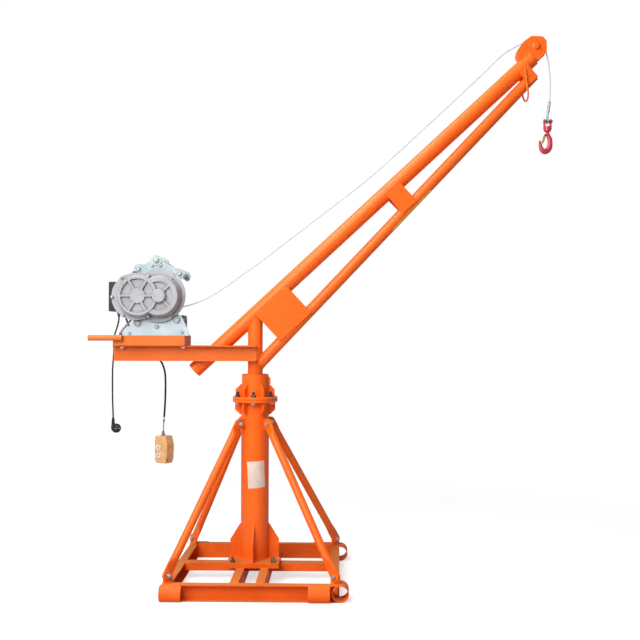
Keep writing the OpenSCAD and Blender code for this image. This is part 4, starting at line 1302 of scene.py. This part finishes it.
forging = Shape()
tube(forging, hook_path, forged_radius, 28)
turned(forging, yoke_at - Z * 0.058, Z, [(9, 0), (8, 3), (7.9, 18)], 28)
hexagon(forging, yoke_at - Z * 0.0399, Z, 20, 9)
latch_at, EAR_IN, EAR_OUT = yoke_at + at(-13, 0, -72), 6.2, 9
LATCH_RIVET = [(2.6, 0), (3, 0.5), (3, 1), (1.9, 1), (1.9, 19), (3, 19), (2.6, 20)]
for side in (-1, 1):
    turned(forging, latch_at + Y * side * EAR_IN * MM, Y * side, [(5, 0), (5, 2.3), (4.4, 2.8)], 24)
    low_y, high_y = sorted((side * EAR_IN, side * EAR_OUT))
    block(forging, latch_at + at(0, low_y, -5), latch_at + at(12, high_y, 5), 0.0012, 0.0006, X)
turned(forging, latch_at - Y * 0.0100, Y, LATCH_RIVET, 20)
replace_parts(forging.piece("forged_hook", "hook", red_paint, 40), "hook")

# %% [markdown]
# ## Spring latch
# A pressed brass latch closes the hook's mouth. Its section is a bent sheet that gets shallower towards the
# tip, so the same outline is repeated down the latch with a share of its depth, and joined.

# %% Spring latch
latch = Shape()
LATCH_LEAN = math.radians(16)
LATCH_ROWS = ((1, 1), (12, 1.1), (30, 1), (42, 0.6), (45, 0.35))
latch_down = Vector((-math.sin(LATCH_LEAN), 0, -math.cos(LATCH_LEAN)))
latch_out = Vector((-math.cos(LATCH_LEAN), 0, math.sin(LATCH_LEAN)))
latch_ring = [(-5.2, 5), (-4, 6), (4, 6), (5.2, 5), (5.2, -5), (4.2, -5), (4.2, 3), (-4.2, 3),
              (-4.2, -5), (-5.2, -5)]
latch_points = []
for down, share in LATCH_ROWS:
    latch_points += [latch_at + latch_down * down * MM + Y * y * MM + latch_out * out * share * MM
                     for y, out in latch_ring]
sides, count = len(latch_ring), len(latch_points)
latch_ends = [tuple(range(sides))[::-1], tuple(range(count - sides, count))]
latch.add(latch_points, joined_rings(len(LATCH_ROWS), sides) + latch_ends)
turned(latch, latch_at - Y * 0.006, Y, [(2.1, 0), (4.5, 0), (4.5, 12), (2.1, 12)], 24, closed=True)
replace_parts(latch.piece("spring_latch", "latch", brass, 35), "hook_latch")

# %% [markdown]
# ## Conduit and ear stop
# A short ribbed conduit leaves the hoist beside its covers and bends down to the seat, where a brown
# fitting holds it, and a small black stop sits on the ear plate. The conduit is a tube whose radius rises
# and falls with each rib. It rides on the upper body, since both of its ends do.

# %% Conduit and ear stop
CONDUIT_R, CONDUIT_RIB, CONDUIT_PITCH = 0.0058, 0.0007, 0.005
CONDUIT_PLACES = ((-606, -106, 1394), (-616, -102, 1380), (-638, -97, 1349), (-662, -95, 1320),
                  (-682, -95, 1298), (-690, -95, 1283), (-691, -95, 1272))


def ribbed(distance, angle):
    """The conduit's radius, one rib in each pitch."""
    return CONDUIT_R + CONDUIT_RIB * math.cos(2 * math.pi * distance / CONDUIT_PITCH)


conduit, sleeve_end, guard = Shape(), Shape(), Shape()
conduit_line = spaced(smooth_line([at(*place) for place in CONDUIT_PLACES]), CONDUIT_PITCH / 4)
tube(conduit, conduit_line, ribbed, 14)
turned(conduit, at(-606, -118, 1394), Y, [(9, 0), (9, 9), (7.5, 12), (6.5, 15)], 24)
turned(sleeve_end, at(-691, -95, 1268), Z, [(9, 0), (8, 2), (8, 13), (7, 16)], 24)
block(guard, at(-630, -106, 1589), at(-606, -86, 1601), 0.003, 0.001, Y)
conduit.piece("motor_conduit", "upper", grey_wire, 50)
sleeve_end.piece("conduit_foot", "upper", brown_bolt, 40)
guard.piece("ear_stop", "upper", black_plastic, 40)

# %% [markdown]
# ## The cords
# The mains lead, the control cord and its wires are all drawn above; nothing more is added to them here.

print("the cords are drawn above")

# %% [markdown]
# ## Stickers
# A blank white sticker wraps the column and a yellow strip runs under the lower tube. Painting them into
# the tubes' material would leave no edge, so each is a thin sheet of its own, bent round its tube by
# a small rule that turns a flat place into a point on the tube.

# %% A thin sheet on a tube
STICKER_T = 0.0005


def sticker(shape, place, wide, tall, corner, columns=14, rows=9):
    """A thin sheet with round corners; place(across, up, out) gives its points."""
    turns = [math.radians(a) for a in (0, 22, 45, 68, 90)]
    heights = [(-tall / 2 + corner * (1 - math.cos(a)), corner * (1 - math.sin(a))) for a in turns]
    between = [(-tall / 2 + corner + (tall - 2 * corner) * k / rows, 0) for k in range(1, rows)]
    heights = heights + between + [(-height, inset) for height, inset in reversed(heights)]
    points = []
    for out in (0, STICKER_T):
        for height, inset in heights:
            half = wide / 2 - inset
            points += [place(half * (2 * k / columns - 1), height, out) for k in range(columns + 1)]
    line, layer = columns + 1, (columns + 1) * len(heights)
    faces = []
    for row in range(len(heights) - 1):
        for k in range(columns):
            a = row * line + k
            faces += [(a, a + line, a + line + 1, a + 1),
                      (layer + a, layer + a + 1, layer + a + line + 1, layer + a + line)]
    last = layer - line
    rim = list(range(line)) + [row * line + columns for row in range(1, len(heights))]
    rim += list(range(layer - 2, last - 1, -1)) + [row * line for row in range(len(heights) - 2, 0, -1)]
    for a, b in zip(rim, rim[1:] + rim[:1]):
        faces.append((a, b, layer + b, layer + a))
    shape.add(points, faces)


print("a sticker is", STICKER_T * 1000, "mm thick")

# %% Stickers
TILT, LABEL_TURN, LABEL_Z = math.radians(3.2), 0.20, 0.547
STRIP_TURN, STRIP_MIDDLE, STRIP_OFF = math.radians(38), 1.170, 0.0001


def on_column(across_m, up_m, out):
    """A place on the near right of the column, tilted a little."""
    turn = LABEL_TURN + (across_m * math.cos(TILT) - up_m * math.sin(TILT)) / COLUMN_R
    height = LABEL_Z + up_m * math.cos(TILT) + across_m * math.sin(TILT)
    reach = COLUMN_R + out
    return Vector((reach * math.sin(turn), -reach * math.cos(turn), height))


def under_tube(across_m, along_m, out):
    """A place low on the near side of the lower tube."""
    turn = STRIP_TURN + across_m / LOW_R
    reach = LOW_R + STRIP_OFF + out
    axis_at = LOW_START + low_along * (STRIP_MIDDLE + along_m)
    return axis_at + low_across * -reach * math.cos(turn) + Y * -reach * math.sin(turn)


label, strip = Shape(), Shape()
sticker(label, on_column, 0.094, 0.138, 0.002)
sticker(strip, under_tube, 0.010, 0.290, 0.001, 4, 3)
label.piece("blank_label", "base", white_vinyl, 40)
strip.piece("yellow_strip", "upper", yellow_vinyl, 40)

# %% [markdown]
# ## Finishes on the solids
# Most working parts are right as they come: channels, tubes, plates and covers. They only need their
# finish, which goes into each solid's own material slots, chosen by a short list.

# %% Dress the solids
DRESS = {
    top_shaded_paint: ("front_channel", "rear_channel", "left_channel", "right_channel", "inner_members",
                  "side_sockets", "axle_sleeves", "seat_plate", "column_foot"),
    orange_paint: ("strut_lugs", "column_tube", "lower_flange", "upper_flange",
                   "socket_tube", "slew_post", "boom_plates",
                   "tip_plates", "head_cheeks", "sheave_pin", "tip_hoop", "main_boom_tube",
                   "lower_boom_tube", "front_struts", "rear_struts"),
    painted_sheen_orange: ("winch_beams", "winch_seat", "push_handle"),
    zinc_plate: ("foot_plates", "tie_rods", "head_sheave"),
    ear_metal: ("ear_plates",),
    bright_bolt: ("frame_bolts", "rope_end"),
    cast_metal: ("gear_case", "case_disc", "drum", "motor"),
    steel_wire: ("rope_winding",),
    bronze: ("slew_bushes",),
    black_plastic: ("control_box", "mains_plug"),
    packing_film: ("pendant",),
    red_paint: ("hook_yoke", "hook"),
    brass: ("hook_latch",),
}
for dressing, names in DRESS.items():
    for name in names:
        slots = nodes[name].material_slots
        if not slots:
            nodes[name].data.materials.append(dressing)
        for each in slots:
            each.material = dressing
print("dressed", sum(len(names) for names in DRESS.values()), "nodes")

# %% [markdown]
# ## Floor, light and background
# The crane stands on a pale floor in a bright, even studio. The floor near it is a real surface, so it
# keeps the soft shadow, and towards its rim it fades into plain white, which only the camera and
# reflections see. The world is white to them too, and softer as a light, so the lamps still shape the
# tubes.

# %% What only the camera and reflections see
def studio_rays(tree):
    """A value of 1 for what the camera, a mirror or a glass sees, and 0 for plain lighting."""
    path = tree.nodes.new("ShaderNodeLightPath")
    first, second = (tree.nodes.new("ShaderNodeMath") for _ in range(2))
    first.operation = second.operation = "MAXIMUM"
    tree.links.new(path.outputs["Is Camera Ray"], first.inputs[0])
    tree.links.new(path.outputs["Is Glossy Ray"], first.inputs[1])
    tree.links.new(first.outputs[0], second.inputs[0])
    tree.links.new(path.outputs["Is Transmission Ray"], second.inputs[1])
    return second.outputs[0]


print("studio rays are ready")

# %% Floor
FLOOR_R, FLOOR_DROP = 14.0, 0.001
floor_mesh = bpy.data.meshes.new("floor")
floor_bm = bmesh.new()
bmesh.ops.create_circle(floor_bm, cap_ends=True, segments=96, radius=FLOOR_R)
floor_bm.to_mesh(floor_mesh)
floor_bm.free()
floor = bpy.data.objects.new("floor", floor_mesh)
floor.location = (0.3, 0, -FLOOR_DROP)
bpy.context.scene.collection.objects.link(floor)
print("floor radius", FLOOR_R)

# %% Finish of the floor
FLOOR_TONE, FLOOR_GLOW, FADE_FROM, FADE_TO = 0.56, 0.64, 1.6, 3.4
floor_finish = bpy.data.materials.new("pale_floor")
floor_finish.use_nodes = True
tree = floor_finish.node_tree
ground = tree.nodes["Principled BSDF"]
ground.inputs["Base Color"].default_value = (FLOOR_TONE, FLOOR_TONE, FLOOR_TONE, 1)
ground.inputs["Roughness"].default_value = 0.9
ground.inputs["Specular IOR Level"].default_value = 0.1
ground.inputs["Emission Color"].default_value = (1, 1, 1, 1)
glow = tree.nodes.new("ShaderNodeMath")
glow.operation = "MULTIPLY"
glow.inputs[1].default_value = FLOOR_GLOW
tree.links.new(studio_rays(tree), glow.inputs[0])
tree.links.new(glow.outputs[0], ground.inputs["Emission Strength"])
white = tree.nodes.new("ShaderNodeEmission")
place = tree.nodes.new("ShaderNodeTexCoord")
reach = tree.nodes.new("ShaderNodeVectorMath")
reach.operation = "LENGTH"
fade = tree.nodes.new("ShaderNodeMapRange")
fade.interpolation_type = "SMOOTHSTEP"
fade.inputs["From Min"].default_value, fade.inputs["From Max"].default_value = FADE_FROM, FADE_TO
share = tree.nodes.new("ShaderNodeMath")
share.operation = "MULTIPLY"
mix = tree.nodes.new("ShaderNodeMixShader")
tree.links.new(place.outputs["Object"], reach.inputs[0])
tree.links.new(reach.outputs["Value"], fade.inputs["Value"])
tree.links.new(fade.outputs["Result"], share.inputs[0])
tree.links.new(studio_rays(tree), share.inputs[1])
tree.links.new(share.outputs[0], mix.inputs["Fac"])
tree.links.new(ground.outputs["BSDF"], mix.inputs[1])
tree.links.new(white.outputs["Emission"], mix.inputs[2])
tree.links.new(mix.outputs["Shader"], tree.nodes["Material Output"].inputs["Surface"])
floor_mesh.materials.append(floor_finish)
print("the floor fades from", FADE_FROM, "m to", FADE_TO, "m")

# %% [markdown]
# ## World and lamps
# A large key lamp from the near left draws the long highlights on the tubes, a lamp from above gives the
# soft shadow under the crane, and a weak fill lifts the right side a little. Small lamps would give hard
# shadows, which an even studio doesn't have.

# %% World
WORLD_LIGHT = 0.12
world = bpy.data.worlds.new("studio")
bpy.context.scene.world = world
world.use_nodes = True
tree = world.node_tree
sky = tree.nodes["Background"]
sky.inputs["Color"].default_value = (1, 1, 1, 1)
level = tree.nodes.new("ShaderNodeMapRange")
level.inputs["To Min"].default_value, level.inputs["To Max"].default_value = WORLD_LIGHT, 1.0
tree.links.new(studio_rays(tree), level.inputs["Value"])
tree.links.new(level.outputs["Result"], sky.inputs["Strength"])
print("the world lights with", WORLD_LIGHT)


# %% Lamps
def soft_lamp(name, place, aim, size, watts):
    """A square soft box that shines at a point."""
    data = bpy.data.lights.new(name, "AREA")
    data.size, data.energy = size, watts
    lamp = bpy.data.objects.new(name, data)
    lamp.matrix_world = (Matrix.Translation(place)
                         @ (Vector(aim) - Vector(place)).to_track_quat("-Z", "Y").to_matrix().to_4x4())
    bpy.context.scene.collection.objects.link(lamp)
    print("lamp", name, watts, "W")


soft_lamp("key", (-1.5, -3.4, 3.4), (0.4, 0, 1.5), 3.6, 255)
soft_lamp("fill", (3.4, -4.4, 2.4), (0.3, 0, 1.2), 2.4, 6)
soft_lamp("top", (-1.2, -0.6, 4.9), (0.6, 0, 1.9), 2.0, 130)
bpy.context.scene.view_settings.view_transform = "Standard"
